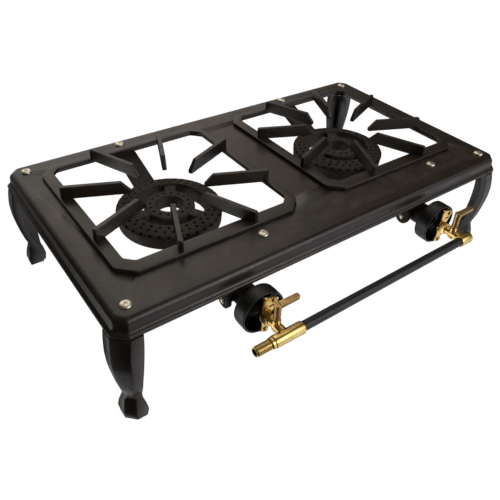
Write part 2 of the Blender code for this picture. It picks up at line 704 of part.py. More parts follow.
def make_nut(flats, height, bore):
    """Hexagon nut, standing on its lower face."""
    nut = hexagon("Z", 0.0, height, flats)
    return cut(nut, rod("Z", -0.010, 0.020, bore, sides=12))


# ---------------------------------------------------------------- gas supply
def make_inlet():
    """Threaded male inlet nipple along X, open right through."""
    socket_end = TEE_LEFT + SOCKET_DEPTH - GAP
    collar_end = TEE_LEFT - GAP
    profile = [(PIPE_BORE, socket_end), (PIPE_RADIUS, socket_end), (PIPE_RADIUS, collar_end)]
    profile += [(COLLAR_RADIUS, collar_end), (COLLAR_RADIUS, collar_end - 0.0035),
                (0.0050, collar_end - 0.0045)]
    pitch = 0.0036
    thread_start = collar_end - 0.0055
    for k in range(int((thread_start - INLET_TIP) / pitch)):
        z = thread_start - pitch * k
        profile += [(THREAD_RADIUS, z), (THREAD_RADIUS - 0.0007, z - pitch / 2)]
    profile += [(THREAD_RADIUS - 0.0006, INLET_TIP), (PIPE_BORE, INLET_TIP)]
    inlet = turned(profile, 16, closed=True)
    return bake(inlet, Matrix.Rotation(pi / 2, 4, "Y"))


def make_manifold():
    """Black pipe between the two taps, open at both ends."""
    left = -BURNER_X + TEE_RIGHT - SOCKET_DEPTH + GAP
    right = BURNER_X + ELBOW_LEFT + SOCKET_DEPTH - GAP
    pipe = turned([(PIPE_BORE, right), (PIPE_RADIUS, right), (PIPE_RADIUS, left), (PIPE_BORE, left)],
                  20, closed=True)
    return bake(pipe, Matrix.Rotation(pi / 2, 4, "Y"))


# ----------------------------------------------------------------- fasteners
def make_top_screw(length):
    """Round-headed screw with a recess, standing on the plate, shank down."""
    return turned([
        (0.0, 0.0018), (0.0020, 0.0030), (0.0046, 0.0024), (SCREW_HEAD, GAP),
        (SCREW_SHANK, GAP), (SCREW_SHANK, -length), (0.0, -length),
    ], 16)


def make_lug_screw():
    """Small round-headed screw, head towards -X."""
    screw = turned([(0.0, 0.0028), (0.0022, 0.0026), (0.0038, GAP),
                    (0.0018, GAP), (0.0018, -0.0040), (0.0, -0.0040)], 14)
    return bake(screw, Matrix.Rotation(-pi / 2, 4, "Y"))


def place_copies(pattern, material, places, smooth=False):
    """Put the pattern at the first of the named places, and a copy at each other."""
    names = list(places)
    finish(pattern, names[0], material, places[names[0]], smooth)
    for name in names[1:]:
        copy_of(pattern, name, places[name])


def both(name, y, z):
    """The places of a piece that each burner has one of."""
    return {"%s_%s" % (name, side): (x, y, z) for side, x in SIDES}


def build_castings():
    make_frame()
    place_copies(make_grate(), CAST_IRON, both("grate", BURNER_Y, 0.0))
    for side_x, left_right in ((-1, "left"), (1, "right")):
        for side_y, front_back in ((-1, "front"), (1, "back")):
            finish(make_leg(side_x, side_y), "leg_%s_%s" % (front_back, left_right), CAST_IRON)
    place_copies(make_burner(), BURNER_IRON, both("burner", BURNER_Y, 0.0))


def build_screws():
    """Screws through the plate, with their nuts, and the screws in the lugs."""
    below = GAP + NUT_HEIGHT + THREAD_SPARE
    lengths = {
        "corner": PLATE_THICK + GAP + FLANGE_THICK + below,
        "back_burner": PLATE_THICK + GAP + ARM_THICK + below,
        "front_burner": -EAR_BOTTOM + below,
    }
    nuts = {}
    for kind, length in lengths.items():
        screws = {}
        for label, (x, y) in screw_places().items():
            if label.startswith(kind) or (kind == "corner" and "burner" not in label):
                screws["screw_" + label] = (x, y, 0.0)
                nuts["nut_" + label] = (x, y, THREAD_SPARE - length)
        place_copies(make_top_screw(length), ZINC, screws, smooth=True)
    place_copies(make_nut(NUT_FLATS, NUT_HEIGHT, NUT_BORE), ZINC, nuts)
    lug_screws = {"lug_screw_" + side: (x + LUG_FACE, LUG_Y, LUG_Z) for side, x in SIDES}
    place_copies(make_lug_screw(), ZINC, lug_screws, smooth=True)


def build_gas_train():
    place_copies(make_cup(), BLACK_PAINT, both("air_cup", CUP_BACK_Y, PIPE_Z), smooth=True)
    place_copies(make_strap(), BRASS,
                 both("jet_strap", (STRAP_BACK_Y + STRAP_FRONT_Y) / 2, PIPE_Z))
    place_copies(make_jet(), BRASS, both("jet", STRAP_FRONT_Y, PIPE_Z), smooth=True)
    strap_screws = {}
    for side, burner_x in SIDES:
        for level, turn in (("top", STRAP_TURN), ("bottom", pi)):
            x, z = strap_screw_at(turn)
            strap_screws["strap_screw_%s_%s" % (level, side)] = (
                burner_x + x, STRAP_FRONT_Y - GAP, PIPE_Z + z)
    place_copies(make_strap_screw(), BRASS, strap_screws)

    finish(make_tap_body(TEE_LEFT, TEE_RIGHT, False), "tap_body_left", BRASS,
           (-BURNER_X, TAP_Y, PIPE_Z), True)
    finish(make_tap_body(ELBOW_LEFT, ELBOW_RIGHT, True), "tap_body_right", BRASS,
           (BURNER_X, TAP_Y, PIPE_Z), True)
    place_copies(make_plug(), BRASS, both("tap_plug", TAP_Y, PIPE_Z), smooth=True)
    place_copies(make_nut(PLUG_NUT_FLATS, PLUG_NUT_HEIGHT, STUD_RADIUS + GAP), BRASS,
                 both("plug_nut", TAP_Y, PIPE_Z + HOUSING_BOTTOM - GAP - PLUG_NUT_HEIGHT))
    place_copies(make_lever(), BRASS, both("tap_lever", TAP_Y, LEVER_Z))
    place_copies(make_lever_screw(), BRASS,
                 both("lever_screw", TAP_Y, LEVER_Z + LEVER_THICK - LEVER_SCREW_SINK))
    finish(make_manifold(), "manifold_pipe", BLACK_PAINT, (0.0, MANIFOLD_Y, PIPE_Z), True)
    finish(make_inlet(), "inlet_nipple", BRASS, (-BURNER_X, MANIFOLD_Y, PIPE_Z), True)


build_castings()
build_screws()
build_gas_train()
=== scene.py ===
"""Looks of the propane burner stand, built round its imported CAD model.

Metres, +Z up.  Plan positions are measured from the middle of the stove's
frame and heights from its flat top, as in the CAD; at() turns them into the
row's own coordinates.  Every visible piece is a finer version of the CAD node
that it stands for, inside the same outline.
"""
import json
from math import cos, pi, radians, sin, sqrt

import bmesh
import bpy
from mathutils import Matrix, Vector

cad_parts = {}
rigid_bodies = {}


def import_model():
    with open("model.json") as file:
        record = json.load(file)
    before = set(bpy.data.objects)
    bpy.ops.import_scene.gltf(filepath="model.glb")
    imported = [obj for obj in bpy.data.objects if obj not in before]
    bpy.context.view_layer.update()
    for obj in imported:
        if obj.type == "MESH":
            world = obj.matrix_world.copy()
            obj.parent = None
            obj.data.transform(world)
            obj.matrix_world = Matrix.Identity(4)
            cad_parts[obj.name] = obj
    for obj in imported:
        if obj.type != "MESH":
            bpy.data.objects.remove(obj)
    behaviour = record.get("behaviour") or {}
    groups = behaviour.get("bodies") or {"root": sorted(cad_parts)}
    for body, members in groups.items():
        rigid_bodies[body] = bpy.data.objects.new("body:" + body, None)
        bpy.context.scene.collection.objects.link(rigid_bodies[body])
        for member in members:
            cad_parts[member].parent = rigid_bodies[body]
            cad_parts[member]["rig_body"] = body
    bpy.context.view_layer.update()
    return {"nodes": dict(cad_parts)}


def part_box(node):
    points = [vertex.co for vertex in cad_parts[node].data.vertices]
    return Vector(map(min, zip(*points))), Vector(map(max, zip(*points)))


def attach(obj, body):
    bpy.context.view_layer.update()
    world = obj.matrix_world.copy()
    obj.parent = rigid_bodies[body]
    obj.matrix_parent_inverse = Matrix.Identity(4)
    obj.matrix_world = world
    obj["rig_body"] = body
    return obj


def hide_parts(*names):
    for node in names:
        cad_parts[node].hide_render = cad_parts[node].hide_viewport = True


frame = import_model()

# ------------------------------------------------------- sizes from the CAD
GAP = 0.0003                    # play between two pieces that meet
PAST = 0.002                    # how far a cutter stands past the face it opens
frame_low, frame_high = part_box("frame")
PLATE_TOP = frame_high.z
FRAME_Y = (frame_low.y + frame_high.y) / 2
BEAD_OUT = 0.005                # the skirt's bottom bead, past its wall
FRAME_HALF_X = (frame_high.x - frame_low.x) / 2 - BEAD_OUT
FRAME_HALF_Y = (frame_high.y - frame_low.y) / 2 - BEAD_OUT
SKIRT_DEPTH = frame_high.z - frame_low.z
PLATE_THICK = 0.005
CORNER_CHAMFER = 0.0115
SHOULDER = 0.008
SKIRT_WALL = 0.005
SCREW_HOLE = 0.0032             # radius of the clearance holes for the frame's screws

# places on the frame
BURNER_X = 0.147
BURNER_Y = 0.009
CORNER_SCREW_X = 0.2795
CORNER_SCREW_Y = 0.1445
BACK_SCREW_Y = 0.1495
EAR_X = 0.0465
EAR_Y = -0.127
EAR_BOTTOM = -0.0480

# pot grate, from the burner's axis
GRATE_LEFT, GRATE_RIGHT = -0.1220, 0.1218
GRATE_FRONT, GRATE_BACK = -0.1215, 0.1260
GRATE_CHAMFER = 0.0183
RIM_LEFT, RIM_RIGHT = 0.0155, 0.0105
RIM_FRONT, RIM_BACK = 0.0180, 0.0100
RIM_THICK = 0.0045
LEDGE_OVERLAP = 0.0052
FINGER_IN = 0.0455
FINGER_OUT = 0.1285
FINGER_HEIGHT = 0.0185
FINGER_THICK = 0.0062
FINGER_ANGLE = radians(23.0)    # of each finger either side of the grate's axes

# burner, from its own axis
HEAD_TOP = -0.0190
HEAD_EDGE = -0.0225
HEAD_BOTTOM = -0.0420
HEAD_RADIUS = 0.0680
HEAD_INNER = 0.0465
CORE_RADIUS = 0.0325
CORE_HOLE = 0.0170
CORE_BOTTOM = -0.0370
BRIDGES = (60, 180, 300)        # degrees
BRIDGE_WIDTH = 0.0150
BRIDGE_BOTTOM, BRIDGE_TOP = -0.0350, -0.0210
BOSS_RADIUS = 0.0170
PIPE_Z = -0.0450
TUBE_RADIUS = 0.0145
TUBE_BORE = 0.0100
TUBE_END_Y = -0.1800
TUBE_JOINS = -0.0560
PORT_RADIUS = 0.0019
# radius of the row, number of ports, offset in steps
PORT_ROWS = ((0.0518, 30, 0.0), (0.0583, 36, 0.5), (0.0247, 16, 0.5))
NOTCHES = 36
NOTCH_WIDTH = 0.0036
NOTCH_INNER = 0.0650
NOTCH_DEPTH = 0.0032
NOTCH_FREE = radians(15.0)      # no grooves this close to the back arm
ARM_WIDTH = 0.028
ARM_THICK = 0.006
EAR_RADIUS = 0.0085
WEB_TOP = -0.0385
WEB_HALF = 0.0060
LUG_RADIUS = 0.0105
LUG_THICK = 0.0050
LUG_X = -0.0215
LUG_HOLE = 0.0021
LUG_Y = -0.1500
LUG_Z = -0.0480
LUG_FACE = -0.0240

# air cup, strap and jet
CUP_RADIUS = 0.0275
CUP_BACK_Y = -0.1755
CUP_FRONT_Y = -0.1935
CUP_WALL = 0.0025
POST_OUT = 0.0015
POST_HALF = 0.0045
STRAP_HUB = 0.0085
STRAP_THICK = 0.0028
STRAP_FOOT = 0.0045
STRAP_SCREW = 0.0205
STRAP_TURN = radians(26.0)
STRAP_SCREW_HOLE = 0.0018
STRAP_BACK_Y = CUP_FRONT_Y - POST_OUT - GAP
STRAP_FRONT_Y = STRAP_BACK_Y - STRAP_THICK
JET_RADIUS = 0.0045
JET_HOLE = 0.0010

# taps, pipe and inlet nipple
TAP_Y = -0.2150
MANIFOLD_Y = -0.2320
TEE_RADIUS = 0.00725
PIPE_RADIUS = 0.00575
PIPE_BORE = 0.0040
SOCKET_DEPTH = 0.008
TEE_LEFT, TEE_RIGHT = -0.0170, 0.0215
ELBOW_LEFT, ELBOW_RIGHT = -0.0090, 0.0110
CROSS_BORE = 0.0034
INLET_TIP = -0.0407
THREAD_RADIUS = 0.0058
THREAD_DEPTH = 0.00035
THREAD_PITCH = 0.0011
COLLAR_RADIUS = 0.0066
BARREL_RADIUS = 0.0054
HOUSING_RADIUS = 0.0048
HOUSING_TOP = 0.0095
HOUSING_BOTTOM = -0.0056
COLLAR_FLATS = 0.0145
COLLAR_LENGTH = 0.0078
GAS_WAY = 0.0013
PLUG_CONE = 0.0400              # length over which the plug's taper is given
PLUG_TOP_RADIUS = 0.0035
PLUG_BOTTOM_RADIUS = 0.0028
STEM_RADIUS = 0.0040
STEM_SQUARE = 0.0042
STUD_RADIUS = 0.0015
STUD_END = -0.0095
PLUG_NUT_FLATS = 0.0056
PLUG_NUT_HEIGHT = 0.0024
LEVER_Z = -0.0185
LEVER_THICK = 0.0048
LEVER_REACH = 0.0275
LEVER_WIDTH = 0.0060
LEVER_CORNER = 0.0016
LEVER_HUB = 0.0044
LEVER_SCREW = 0.0009
LEVER_SCREW_HEAD = 0.0024
LEVER_SCREW_SINK = 0.0016

# screws, nuts and legs
SCREW_SHANK = 0.00275
SCREW_HEAD = 0.0064
NUT_FLATS = 0.0100
NUT_HEIGHT = 0.0050
NUT_BORE = 0.00305
THREAD_SPARE = 0.0020           # thread left showing below a nut
FLANGE_THICK = 0.0050
LEG_BULGE = 0.0088              # furthest that a leg's knee stands out

SIDES = (("left", -BURNER_X), ("right", BURNER_X))


# ------------------------------------------------------------------ helpers
def at(x, y, z):
    """Row position of a point given from the frame's middle and plate top."""
    return Vector((x, y + FRAME_Y, z + PLATE_TOP))


def new_object(name, data):
    """New object, linked into the scene."""
    obj = bpy.data.objects.new(name, data)
    bpy.context.scene.collection.objects.link(obj)
    return obj


def object_from_bmesh(name, bm):
    """New object from a bmesh, its faces turned outwards."""
    mesh = bpy.data.meshes.new(name)
    bmesh.ops.recalc_face_normals(bm, faces=bm.faces)
    bm.to_mesh(mesh)
    bm.free()
    return new_object(name, mesh)


def settle(obj):
    """Turn an object with modifiers, or a curve, into a plain welded mesh."""
    bpy.context.view_layer.update()
    evaluated = obj.evaluated_get(bpy.context.evaluated_depsgraph_get())
    mesh = bpy.data.meshes.new_from_object(evaluated)
    bm = bmesh.new()
    bm.from_mesh(mesh)
    bmesh.ops.remove_doubles(bm, verts=bm.verts, dist=1e-6)
    bmesh.ops.recalc_face_normals(bm, faces=bm.faces)
    bm.to_mesh(mesh)
    bm.free()
    if obj.type == "MESH":
        obj.modifiers.clear()
        obj.data = mesh
        return obj
    plain = new_object(obj.name + "_mesh", mesh)
    plain.matrix_world = obj.matrix_world.copy()
    bpy.data.objects.remove(obj, do_unlink=True)
    return plain


def bake(obj, matrix):
    """Apply a transform to the object's mesh."""
    obj.data.transform(matrix)
    if matrix.determinant() < 0:
        obj.data.flip_normals()
    return obj


def combine(target, operands, operation):
    """Boolean the operands into the target, and drop them."""
    for operand in operands:
        modifier = target.modifiers.new(operation.lower(), "BOOLEAN")
        modifier.operation = operation
        modifier.object = operand
        modifier.solver = "EXACT"
    settle(target)
    for operand in operands:
        bpy.data.objects.remove(operand, do_unlink=True)
    return target


def join(target, *operands):
    return combine(target, operands, "UNION")


def cut(target, *operands):
    return combine(target, operands, "DIFFERENCE")


def merge(objects):
    """Put separate closed solids into one mesh, to use as one cutter."""
    bm = bmesh.new()
    for obj in objects:
        bm.from_mesh(obj.data)
        bpy.data.objects.remove(obj, do_unlink=True)
    return object_from_bmesh("merged", bm)


def bevelled(obj, width, segments=2, angle=40):
    """Round the edges sharper than the angle."""
    modifier = obj.modifiers.new("rounded", "BEVEL")
    modifier.width = width
    modifier.segments = segments
    modifier.limit_method = "ANGLE"
    modifier.angle_limit = radians(angle)
    return settle(obj)


def box(low, high):
    """Block between two opposite corners."""
    low, high = Vector(low), Vector(high)
    bm = bmesh.new()
    bmesh.ops.create_cube(bm, size=1.0)
    bmesh.ops.scale(bm, vec=high - low, verts=bm.verts)
    bmesh.ops.translate(bm, vec=(low + high) / 2, verts=bm.verts)
    return object_from_bmesh("box", bm)


AXIS_TURN = {
    "X": Matrix.Rotation(pi / 2, 4, "Y"),
    "Y": Matrix.Rotation(-pi / 2, 4, "X"),
    "Z": Matrix.Identity(4),
}


def rod(axis, start, end, radius, centre=(0.0, 0.0), sides=40, end_radius=None):
    """Cylinder or cone along an axis; centre gives the other two coordinates."""
    bm = bmesh.new()
    bmesh.ops.create_cone(
        bm, cap_ends=True, segments=sides, radius1=radius,
        radius2=radius if end_radius is None else end_radius, depth=end - start)
    middle = (start + end) / 2
    place = {
        "X": (middle, *centre),
        "Y": (centre[0], middle, centre[1]),
        "Z": (*centre, middle),
    }[axis]
    bmesh.ops.transform(bm, matrix=AXIS_TURN[axis], verts=bm.verts)
    bmesh.ops.translate(bm, vec=place, verts=bm.verts)
    return object_from_bmesh("rod", bm)


def turned(profile, steps, closed=False):
    """Turn a (radius, height) profile about Z with a Screw modifier."""
    bm = bmesh.new()
    points = [bm.verts.new((radius, 0.0, height)) for radius, height in profile]
    for first, second in zip(points, points[1:]):
        bm.edges.new((first, second))
    if closed:
        bm.edges.new((points[-1], points[0]))
    obj = object_from_bmesh("turned", bm)
    screw = obj.modifiers.new("turn", "SCREW")
    screw.steps = steps
    screw.use_merge_vertices = True
    screw.merge_threshold = 1e-6
    return settle(obj)


def eased(profile, radius, steps=3):
    """Round the inner corners of an open profile."""
    result = [profile[0]]
    for before, here, after in zip(profile, profile[1:], profile[2:]):
        before, here, after = Vector(before), Vector(here), Vector(after)
        reach = min(radius, (before - here).length * 0.45, (after - here).length * 0.45)
        start = here + (before - here).normalized() * reach
        end = here + (after - here).normalized() * reach
        for k in range(steps + 1):
            t = k / steps
            result.append(tuple(start.lerp(here, t).lerp(here.lerp(end, t), t)))
    result.append(profile[-1])
    return result


def softened(points, radius, steps=3):
    """Round the corners of a closed outline; every outline gets as many points."""
    result = []
    count = len(points)
    for i in range(count):
        before, here, after = (Vector(points[k % count]) for k in (i - 1, i, i + 1))
        start = here + (before - here).normalized() * radius
        end = here + (after - here).normalized() * radius
        for k in range(steps + 1):
            t = k / steps
            result.append(tuple(start.lerp(here, t).lerp(here.lerp(end, t), t)))
    return result


def flat_plate(outlines, thickness):
    """Flat plate in XY from closed outlines, centred on Z = 0."""
    curve = bpy.data.curves.new("outline", "CURVE")
    curve.dimensions = "2D"
    curve.fill_mode = "BOTH"
    curve.extrude = thickness / 2
    for outline in outlines:
        spline = curve.splines.new("POLY")
        spline.points.add(len(outline) - 1)
        for point, (x, y) in zip(spline.points, outline):
            point.co = (x, y, 0.0, 1.0)
        spline.use_cyclic_u = True
    return settle(new_object("plate", curve))


def loft(loops, ring=False):
    """Closed solid through loops with as many points each; a ring has no ends."""
    bm = bmesh.new()
    rows = [[bm.verts.new(point) for point in loop] for loop in loops]
    count = len(rows[0])
    for lower, upper in zip(rows, rows[1:] + rows[:1] if ring else rows[1:]):
        for i in range(count):
            j = (i + 1) % count
            bm.faces.new((lower[i], lower[j], upper[j], upper[i]))
    if not ring:
        bm.faces.new(rows[0])
        bm.faces.new(rows[-1])
    return object_from_bmesh("loft", bm)


def arc(centre, radius, start, end, steps):
    """Points on an arc in the plane, angles in degrees, both ends included."""
    angles = [radians(start + (end - start) * k / steps) for k in range(steps + 1)]
    return [(centre[0] + radius * cos(a), centre[1] + radius * sin(a)) for a in angles]


def hexagon(axis, start, end, flats, edge=0.0006):
    """Hexagonal bar with its corners turned off at both ends."""
    corner = flats / 2 / cos(pi / 6)
    bar = rod("Z", start, end, corner, sides=6)
    cone = turned([
        (0.0, end + edge), (flats / 2 - edge * 0.2, end + edge * 0.01),
        (corner + edge, end - edge * 1.5), (corner + edge, start + edge * 1.5),
        (flats / 2 - edge * 0.2, start - edge * 0.01), (0.0, start - edge),
    ], 36)
    combine(bar, [cone], "INTERSECT")
    return bake(bar, AXIS_TURN[axis])


def smooth(obj, angle=38):
    """Shade smooth, with edges sharper than the angle kept crisp."""
    obj.data.shade_smooth()
    obj.data.set_sharp_from_angle(angle=radians(angle))
    return obj


def show(obj, node, material, origin=(0.0, 0.0, 0.0), angle=38):
    """Stand a finished mesh at its place, for the CAD node of the same name."""
    obj.name = node + "_fine"
    obj.data.name = obj.name
    obj.data.materials.clear()
    obj.data.materials.append(material)
    smooth(obj, angle)
    obj.location = at(*origin)
    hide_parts(node)
    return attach(obj, frame["nodes"][node]["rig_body"])


def put(pattern, node, material, origin):
    """Stand the pattern at its place, or a copy that shares its mesh if it is used."""
    if not pattern.name.endswith("_fine"):
        return show(pattern, node, material, origin)
    piece = new_object(node + "_fine", pattern.data)
    piece.location = at(*origin)
    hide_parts(node)
    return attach(piece, frame["nodes"][node]["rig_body"])


# ---------------------------------------------------------------- materials
class Surface:
    """Small wrapper that builds a procedural Principled material."""

    def __init__(self, name, metallic, roughness):
        self.material = bpy.data.materials.new(name)
        self.material.use_nodes = True
        self.tree = self.material.node_tree
        self.shader = self.tree.nodes["Principled BSDF"]
        self.shader.inputs["Metallic"].default_value = metallic
        self.shader.inputs["Roughness"].default_value = roughness
        self.coords = self.node("ShaderNodeTexCoord").outputs["Object"]
        self.normal = None

    def node(self, kind):
        return self.tree.nodes.new(kind)

    def link(self, source, target):
        self.tree.links.new(source, target)

    def stretched(self, scale):
        mapping = self.node("ShaderNodeMapping")
        mapping.inputs["Scale"].default_value = scale
        self.link(self.coords, mapping.inputs["Vector"])
        return mapping.outputs["Vector"]

    def noise(self, scale, detail=2.0, roughness=0.5, vector=None):
        node = self.node("ShaderNodeTexNoise")
        node.inputs["Scale"].default_value = scale
        node.inputs["Detail"].default_value = detail
        node.inputs["Roughness"].default_value = roughness
        self.link(vector or self.coords, node.inputs["Vector"])
        return node.outputs["Fac"]

    def cells(self, scale):
        node = self.node("ShaderNodeTexVoronoi")
        node.inputs["Scale"].default_value = scale
        self.link(self.coords, node.inputs["Vector"])
        return node.outputs["Distance"]

    def edges(self, low, high):
        """Mask that is 1 on outward edges, from the mesh's own curvature."""
        return self.ramp(self.node("ShaderNodeNewGeometry").outputs["Pointiness"], low, high)

    def ramp(self, value, low, high, first=0.0, second=1.0):
        node = self.node("ShaderNodeMapRange")
        node.inputs["From Min"].default_value = low
        node.inputs["From Max"].default_value = high
        node.inputs["To Min"].default_value = first
        node.inputs["To Max"].default_value = second
        self.link(value, node.inputs["Value"])
        return node.outputs["Result"]

    def mix(self, factor, first, second):
        node = self.node("ShaderNodeMix")
        node.data_type = "RGBA"
        self.link(factor, node.inputs["Factor"])
        for name, value in (("A", first), ("B", second)):
            socket = [s for s in node.inputs if s.name == name and s.type == "RGBA"][0]
            if isinstance(value, tuple):
                socket.default_value = (*value, 1.0)
            else:
                self.link(value, socket)
        return [s for s in node.outputs if s.type == "RGBA"][0]

    def times(self, first, second):
        node = self.node("ShaderNodeMath")
        node.operation = "MULTIPLY"
        self.link(first, node.inputs[0])
        if isinstance(second, float):
            node.inputs[1].default_value = second
        else:
            self.link(second, node.inputs[1])
        return node.outputs[0]

    def bump(self, height, distance, strength=1.0):
        node = self.node("ShaderNodeBump")
        node.inputs["Strength"].default_value = strength
        node.inputs["Distance"].default_value = distance
        self.link(height, node.inputs["Height"])
        if self.normal is not None:
            self.link(self.normal, node.inputs["Normal"])
        self.normal = node.outputs["Normal"]

    def done(self, color, roughness=None):
        self.link(color, self.shader.inputs["Base Color"])
        if roughness is not None:
            self.link(roughness, self.shader.inputs["Roughness"])
        if self.normal is not None:
            self.link(self.normal, self.shader.inputs["Normal"])
        return self.material


def cast_paint(name, dark, light, rough_low, rough_high, grain):
    """Thin black-brown paint over sand-cast iron: grain, soft waves, edges lightened as wear and
    as painted highlight.
    """
    s = Surface(name, 0.0, 0.5)
    cloud = s.noise(9.0, 4.0, 0.6)
    speck = s.noise(420.0, 3.0, 0.7)
    color = s.mix(s.ramp(cloud, 0.35, 0.65), dark, light)
    dusty = tuple(min(1.0, c * 2.2 + 0.010) for c in light)
    color = s.mix(s.ramp(speck, 0.62, 0.80, 0.0, 0.55), color, dusty)
    # outward edges lightened in patches: partly wear, partly a painted highlight along the bevels
    edge_wear_and_highlight = s.times(s.edges(0.52, 0.60), s.ramp(s.noise(60.0, 3.0), 0.40, 0.65))
    color = s.mix(s.times(edge_wear_and_highlight, 0.5), color, (0.105, 0.095, 0.085))
    s.bump(s.noise(38.0, 2.0), 0.0007, 0.5)
    s.bump(s.noise(260.0, 3.0, 0.6), 0.00035, grain)
    s.bump(speck, 0.00018, grain)
    roughness = s.ramp(s.noise(24.0, 3.0), 0.3, 0.7, rough_low, rough_high)
    return s.done(color, roughness)


def burnt_casting(name):
    """Burner casting: rough skin, brown bloom in the hollows."""
    s = Surface(name, 0.0, 0.7)
    patch = s.noise(55.0, 5.0, 0.65)
    fleck = s.noise(600.0, 3.0, 0.7)
    color = s.mix(s.ramp(patch, 0.38, 0.62), (0.016, 0.0125, 0.0100), (0.042, 0.0300, 0.0210))
    color = s.mix(s.ramp(fleck, 0.60, 0.78, 0.0, 0.8), color, (0.095, 0.066, 0.044))
    s.bump(s.noise(110.0, 3.0), 0.0012, 0.9)
    s.bump(s.cells(420.0), 0.0005, 0.8)
    s.bump(fleck, 0.0002, 0.8)
    return s.done(color, s.ramp(patch, 0.3, 0.7, 0.55, 0.80))


def smooth_paint(name, color, light, roughness):
    """Sprayed black paint on turned or drawn steel, faintly dappled."""
    s = Surface(name, 0.0, roughness)
    tint = s.mix(s.ramp(s.noise(40.0, 3.0), 0.35, 0.7), color, light)
    s.bump(s.noise(700.0, 2.0), 0.00006, 0.5)
    s.bump(s.noise(90.0, 2.0), 0.00025, 0.35)
    return s.done(tint, s.ramp(s.noise(120.0, 3.0), 0.3, 0.7, roughness - 0.06, roughness + 0.10))


def brass(name, bright, dull, rough_low, rough_high, grain):
    """Machined or cast brass with a little tarnish and handling marks."""
    s = Surface(name, 1.0, 0.3)
    stain = s.noise(150.0, 4.0, 0.6)
    color = s.mix(s.ramp(stain, 0.35, 0.70), bright, dull)
    scratch = s.noise(90.0, 2.0, 0.5, s.stretched((30.0, 2.0, 30.0)))
    s.bump(scratch, 0.00004, 0.5)
    s.bump(s.noise(800.0, 2.0), 0.00006, grain)
    return s.done(color, s.ramp(stain, 0.3, 0.7, rough_low, rough_high))


def plated(name):
    """Yellowish zinc plate on screws and nuts."""
    s = Surface(name, 1.0, 0.35)
    film = s.noise(260.0, 3.0, 0.6)
    color = s.mix(s.ramp(film, 0.35, 0.70), (0.92, 0.86, 0.74), (0.80, 0.72, 0.58))
    s.bump(s.noise(1200.0, 2.0), 0.00004, 0.5)
    return s.done(color, s.ramp(film, 0.3, 0.7, 0.32, 0.48))


IRON = cast_paint("painted_iron", (0.0130, 0.0082, 0.0052), (0.0270, 0.0172, 0.0108),
                  0.27, 0.42, 0.55)
BURNER_IRON = burnt_casting("burner_iron")
BLACK = smooth_paint("black_paint", (0.0060, 0.0060, 0.0062), (0.0110, 0.0105, 0.0100), 0.42)
BRIGHT_BRASS = brass("bright_brass", (0.90, 0.66, 0.26), (0.78, 0.50, 0.15), 0.20, 0.34, 0.5)
DULL_BRASS = brass("dull_brass", (0.66, 0.44, 0.20), (0.46, 0.29, 0.12), 0.34, 0.50, 1.0)
ZINC = plated("zinc_plate")


# -------------------------------------------------------------------- frame
def octagon(left, right, front, back, chamfer, z):
    """Rectangle with cut corners, as points at one height."""
    corners = (
        (left, front + chamfer), (left + chamfer, front),
        (right - chamfer, front), (right, front + chamfer),
        (right, back - chamfer), (right - chamfer, back),
        (left + chamfer, back), (left, back - chamfer),
    )
    return [(x, y, z) for x, y in corners]


def frame_section(offset, z, radius=0.0022):
    """Outline of the frame at one height, moved out from its wall by offset."""
    half_x, half_y = FRAME_HALF_X + offset, FRAME_HALF_Y + offset
    chamfer = CORNER_CHAMFER + offset * (2 - sqrt(2))
    return softened(octagon(-half_x, half_x, -half_y, half_y, chamfer, z), radius)


def screw_places():
    """Plan position and name of each of the screws in the top plate."""
    places = {}
    for sx, left_right in ((-1, "left"), (1, "right")):
        places["front_" + left_right] = (sx * CORNER_SCREW_X, -CORNER_SCREW_Y)
        places["back_" + left_right] = (sx * CORNER_SCREW_X, CORNER_SCREW_Y)
        places["front_burner_" + left_right] = (sx * BURNER_X + EAR_X, EAR_Y)
        places["back_burner_" + left_right] = (sx * BURNER_X, BACK_SCREW_Y)
    return places


def make_frame():
    """Plate with a rounded shoulder, skirt and bead, two openings and its screw holes."""
    steps = 9
    turns = [radians(90 * k / steps) for k in range(steps + 1)]
    profile = [(SHOULDER * (sin(a) - 1), SHOULDER * (cos(a) - 1)) for a in turns]
    # the skirt's foot: offset from the wall and height, down to the bead's underside
    foot = [(0.0003, -0.0108), (0.0006, -0.0135), (0.0014, -0.0152), (0.0029, -0.0163),
            (0.0042, -0.0170), (BEAD_OUT - 0.0002, -0.0178), (BEAD_OUT, -0.0187),
            (BEAD_OUT, -0.0198), (BEAD_OUT - 0.0004, -0.0208), (BEAD_OUT - 0.0013, -SKIRT_DEPTH)]
    plate = loft([frame_section(offset, z) for offset, z in profile + foot])
    hollow = loft([frame_section(-SKIRT_WALL, z, 0.0015) for z in (-PLATE_THICK, -0.030)])
    bevelled(hollow, 0.0015, 2, 60)
    holes = [hollow]
    edge = 0.0006
    for side in (-1, 1):
        x = side * BURNER_X
        loops = []
        for grow, z in ((0.0, -0.010), (0.0, -edge), (edge, 0.0), (edge * 3, edge * 2)):
            inset = LEDGE_OVERLAP + grow
            loops.append(softened(octagon(
                x + GRATE_LEFT + RIM_LEFT - inset, x + GRATE_RIGHT - RIM_RIGHT + inset,
                BURNER_Y + GRATE_FRONT + RIM_FRONT - inset,
                BURNER_Y + GRATE_BACK - RIM_BACK + inset, GRATE_CHAMFER * 0.7, z), 0.003))
        holes.append(loft(loops))
    cut(plate, *holes)
    drills = [rod("Z", -0.010, 0.010, SCREW_HOLE, place, 24) for place in screw_places().values()]
    cut(plate, merge(drills))
    show(plate, "frame", IRON)


# ------------------------------------------------------------------- grates
def rim_outline(inner, shrink, z):
    """Outer or inner outline of the rim, moved into the metal by shrink."""
    left, right, front, back = GRATE_LEFT, GRATE_RIGHT, GRATE_FRONT, GRATE_BACK
    chamfer, turn = GRATE_CHAMFER, 1
    if inner:
        left, right = left + RIM_LEFT, right - RIM_RIGHT
        front, back = front + RIM_FRONT, back - RIM_BACK
        chamfer, turn = chamfer * 0.55, -1
    step = shrink * turn
    return softened(octagon(left + step, right - step, front + step, back - step,
                            chamfer - step * (2 - sqrt(2)), z), 0.0028)


